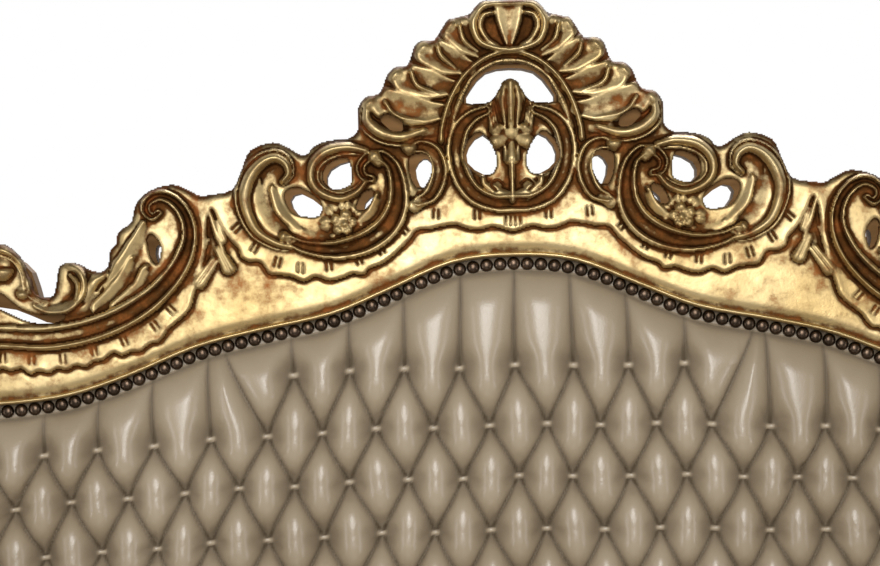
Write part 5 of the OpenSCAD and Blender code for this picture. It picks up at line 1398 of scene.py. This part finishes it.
def knee_leaf(axis, way):
    """A leaf that faces way. Inside its outline it is 5 mm times 0.3 plus 0.7 of the larger of
    two: the ribs, a wave of the height less 1.1 of the distance from the middle line, and the
    spine, a narrow bell over that line."""
    way = np.array(way) / np.hypot(*way)

    def carve(p, normal):
        """Metres out, for a leaf round this axis."""
        aside = (p[:, 0] - axis[0]) * -way[1] + (p[:, 1] - axis[1]) * way[0]
        up = np.clip((p[:, 2] - 0.165) / 0.125, 0, 1)
        wide = 0.031 * np.sin(np.pi * np.clip(up * 0.86 + 0.02, 0, 1)) ** 0.6
        facing = np.clip(normal[:, 0] * way[0] + normal[:, 1] * way[1], 0, 1)
        leaf = np.clip((wide - np.abs(aside)) / 0.006, 0, 1) * (up > 0) * (up < 1) * np.clip(facing * 2, 0, 1)
        ribs = 0.5 + 0.5 * np.cos(2 * np.pi * (p[:, 2] - 1.1 * np.abs(aside)) / 0.017)
        spine = np.exp(-(aside / 0.0028) ** 2)
        return 0.005 * leaf * (0.3 + 0.7 * np.maximum(ribs, spine))
    return carve


def middle_line(p, along):
    """Places along an axis, and the mean x of the points in a slice at each."""
    edges = np.linspace(p[:, along].min(), p[:, along].max(), 40)
    k = np.clip(np.digitize(p[:, along], edges) - 1, 0, 38)
    total, count = np.bincount(k, p[:, 0], 39), np.bincount(k, minlength=39)
    has = count > 0
    return ((edges[:-1] + edges[1:]) / 2)[has], total[has] / count[has]


def husk(along, start, stop):
    """Slanting ribs round a member between two places: 2.2 mm times a wave of the distance
    along plus 0.8 of the distance from the middle line, faded out at both ends."""
    def carve(p, normal):
        """Metres out, for ribs along this axis."""
        share = (p[:, along] - start) / (stop - start)
        fade = np.clip(share / 0.12, 0, 1) * np.clip((1 - share) / 0.12, 0, 1)
        aside = np.abs(p[:, 0] - np.interp(p[:, along], *middle_line(p, along)))
        return 0.0022 * fade * (0.5 + 0.5 * np.cos(2 * np.pi * (p[:, along] + 0.8 * aside) / 0.013))
    return carve


def rope(p, normal):
    """Slanting ribs of 1.6 mm on the swags, left off the shells between them."""
    x = np.abs(p[:, 0])
    swags = [(0.07, 0.235), (0.425, 0.59)]
    on = sum(np.clip((x - start) / 0.01, 0, 1) * np.clip((stop - x) / 0.01, 0, 1) for start, stop in swags)
    return 0.0016 * on * np.cos(2 * np.pi * (x + 0.6 * p[:, 2]) / 0.0115)


print("middle of the left front leg", [round(float(v), 3) for v in axis_of("front_leg_left")])

# %% Frame members, softened and carved
for side_name, way in (("left", -1), ("right", 1)):
    leg = f"front_leg_{side_name}"
    softened(f"{leg}_carved", leg, 0.0028, 3, knee_leaf(axis_of(leg), (way, -1)))
    softened(f"arm_rail_{side_name}_carved", f"arm_rail_{side_name}", 0.0026, 4, husk(1, -0.15, -0.24))
    softened(f"arm_post_{side_name}_carved", f"arm_post_{side_name}", 0.0026, 4, husk(2, 0.5, 0.42))
    softened(f"back_post_{side_name}_soft", f"back_post_{side_name}", 0.0038, 2)
    softened(f"seat_rail_{side_name}_soft", f"seat_rail_{side_name}", 0.004, 2)
softened("front_leg_centre_carved", "front_leg_centre", 0.0028, 3, knee_leaf(axis_of("front_leg_centre"), (0, -1)))
softened("rear_leg_centre_soft", "rear_leg_centre", 0.0035, 2)
softened("seat_rail_front_soft", "seat_rail_front", 0.0038, 2)
softened("apron_relief", "apron_carving", 0.0018, 3, rope)

# %% [markdown]
# ## The outside back
# Behind, a hide is pulled tight over the frame and tacked under the crest. It is a closed
# sheet again: its upper edge is read from the node, its own edge rolls over in 6 mm, and a
# swell of 0.6 mm keeps the reflections alive.

# %% Outside back
co = points_of(nodes["outside_back_panel"].data).astype(float)
up_slope = (co[:, 2] - RAIL_TOP) * COS + (co[:, 1] - BACK_Y) * SIN
outward = (co[:, 2] - RAIL_TOP) * SIN - (co[:, 1] - BACK_Y) * COS
panel_low, face, back = 0.003, outward.min(), outward.max()
upper = up_slope > (up_slope.min() + up_slope.max()) / 2 - 0.05
xs = np.unique(np.round(co[upper][:, 0], 4))
tops = np.array([up_slope[upper][np.abs(co[upper][:, 0] - x) < 1e-4].max() for x in xs])
u, v = np.linspace(0, 1, 181)[None, :], np.linspace(0, 1, 91)[:, None]
panel_x = xs[0] + (xs[-1] - xs[0]) * u + 0 * v
top_at = np.interp(panel_x, xs, tops)
panel_w = panel_low + (top_at - panel_low) * v
to_side = np.minimum(panel_x - xs[0], xs[-1] - panel_x)
roll = round_over(np.minimum(to_side, np.minimum(panel_w - panel_low, top_at - panel_w)) / 0.006)
depth = back - (back - face) * (0.3 + 0.7 * roll) - 0.0006 * np.sin(panel_x * 31) * np.sin(panel_w * 23) * roll
closed_sheet("outside_back_leather", "outside_back_panel", slope(panel_x, panel_w, depth),
    slope(panel_x, panel_w, back + 0 * panel_x), [0, 3, 2, 1])
print("outside back", panel_low, "to", round(float(tops.max()), 3))

# %% [markdown]
# ## Light
# Gold and glossy leather show what is round them more than they show their own colour. A
# studio's soft boxes are area lights here: one large key high in front, a strip on each
# side, and two small lamps low down for the glints. The world is white to the camera, dim
# to the shading, and to gloss a room that is white behind the sofa and dark in front of it.

# %% Lamps
def area(name, place, aim, size, power):
    """A soft box at a place, aimed at a point, with its width, its height and its watts."""
    d = bpy.data.lights.new(name, "AREA")
    d.energy, d.color, d.shape, d.size, d.size_y = power, (1, 1, 1), "RECTANGLE", *size
    o = bpy.data.objects.new(name, d)
    bpy.context.scene.collection.objects.link(o)
    o.rotation_mode = "QUATERNION"
    o.location = place
    o.visible_camera = False
    o.rotation_quaternion = (Vector(aim) - Vector(place)).to_track_quat("-Z", "Y")


area("key", (-0.1, -3.3, 2.3), (0, 0.2, 0.9), (1.1, 1.9), 88)
area("left strip", (-2.6, -1.9, 1.4), (0, 0.2, 0.8), (0.5, 1.6), 9)
area("right strip", (2.6, -2.1, 1.4), (0, 0.2, 0.8), (0.5, 1.6), 7)
area("low left glint", (-1.9, -1.15, 0.5), (0, 0.2, 0.9), (0.3, 0.3), 4)
area("low right glint", (1.9, -1.15, 0.5), (0, 0.2, 0.9), (0.3, 0.3), 4)
area("back wash", (0.4, 3.2, 2.2), (0, 0.2, 0.7), (1.6, 1.0), 45)
print("lamps", len(bpy.data.lights))

# %% White room
world_of_room = bpy.data.worlds.new("white room")
bpy.context.scene.world = world_of_room
world_of_room.use_nodes = True
t = world_of_room.node_tree
t.nodes.clear()
rays = node(t, "ShaderNodeLightPath").outputs
facing = node(t, "ShaderNodeSeparateXYZ", i0=node(t, "ShaderNodeTexCoord").outputs["Generated"]).outputs["Y"]
room = ranged(t, facing, -0.1, 0.8, 0.12, 0.85, _interpolation_type="SMOOTHSTEP")
for_gloss = node(t, "ShaderNodeBackground", Color=(1, 0.98, 0.95, 1), Strength=room)
white = node(t, "ShaderNodeBackground", Color=(1, 1, 1, 1), Strength=1.0)
dim = node(t, "ShaderNodeBackground", Color=(1, 0.97, 0.93, 1), Strength=0.3)
mixer = node(t, "ShaderNodeMixShader", i0=rays["Is Glossy Ray"], i1=dim.outputs[0], i2=for_gloss.outputs[0])
mixer = node(t, "ShaderNodeMixShader", i0=rays["Is Camera Ray"], i1=mixer.outputs[0], i2=white.outputs[0])
t.links.new(mixer.outputs[0], t.nodes.new("ShaderNodeOutputWorld").inputs[0])
print("nodes of the room", len(t.nodes))

# %% [markdown]
# ## Floor
# The sofa stands on the same white that is behind it, and only its shadow tells where the
# floor is. The floor is a large square that turns transparent between 0.9 and 3.2 m from the
# middle, so no edge shows.

# %% Floor
me = bpy.data.meshes.new("floor")
me.from_pydata([(-4, -4, 0), (4, -4, 0), (4, 4, 0), (-4, 4, 0)], [], [(0, 1, 2, 3)])
floor = bpy.data.objects.new("floor", me)
bpy.context.scene.collection.objects.link(floor)
floor_paint, t, shader = new_material("floor")
shader.inputs["Base Color"].default_value = (0.93, 0.93, 0.93, 1)
shader.inputs["Roughness"].default_value = 0.8
from_middle = node(t, "ShaderNodeVectorMath", _operation="LENGTH", i0=place_of(t)).outputs["Value"]
far_out = ranged(t, from_middle, 0.9, 3.2, _interpolation_type="SMOOTHSTEP")
see_through = node(t, "ShaderNodeBsdfTransparent")
blend = node(t, "ShaderNodeMixShader", i0=far_out, i1=shader.outputs[0], i2=see_through.outputs[0])
t.links.new(blend.outputs[0], next(n for n in t.nodes if n.type == "OUTPUT_MATERIAL").inputs[0])
me.materials.append(floor_paint)
print("floor", len(me.polygons), "face")

# %% [markdown]
# ## Camera
# The photograph looks straight at the back, which leans, so the camera stands on the normal
# of the back's plane and is rolled by the picture's own lean. Its lens follows from the
# scale: the picture's width in metres, seen from 3 m away.

# %% Camera and lens
PICTURE_WIDE, PICTURE_MIDDLE, SENSOR, distance = 880, (440, 283), 36, 3.0
cam_data = bpy.data.cameras.new("camera")
camera = bpy.data.objects.new("camera", cam_data)
bpy.context.scene.collection.objects.link(camera)
bpy.context.scene.camera = camera
middle = upright([PICTURE_MIDDLE])[0]
place = world(middle[0], middle[1], 0.0) + OUT * distance
level, down_back = np.array([1.0, 0, 0]), np.array([0, -SIN, -COS])
right, up = level * LEAN_COS + down_back * LEAN_SIN, level * LEAN_SIN - down_back * LEAN_COS
camera.matrix_world = Matrix([[right[k], up[k], OUT[k], place[k]] for k in range(3)] + [[0, 0, 0, 1]])
cam_data.sensor_width = SENSOR
cam_data.lens = SENSOR * distance / (PICTURE_WIDE * UNIT)
cam_data.clip_start, cam_data.clip_end = 0.05, 50
sc = bpy.context.scene
sc.view_settings.view_transform = "Standard"
print("lens", round(cam_data.lens, 1), "mm")
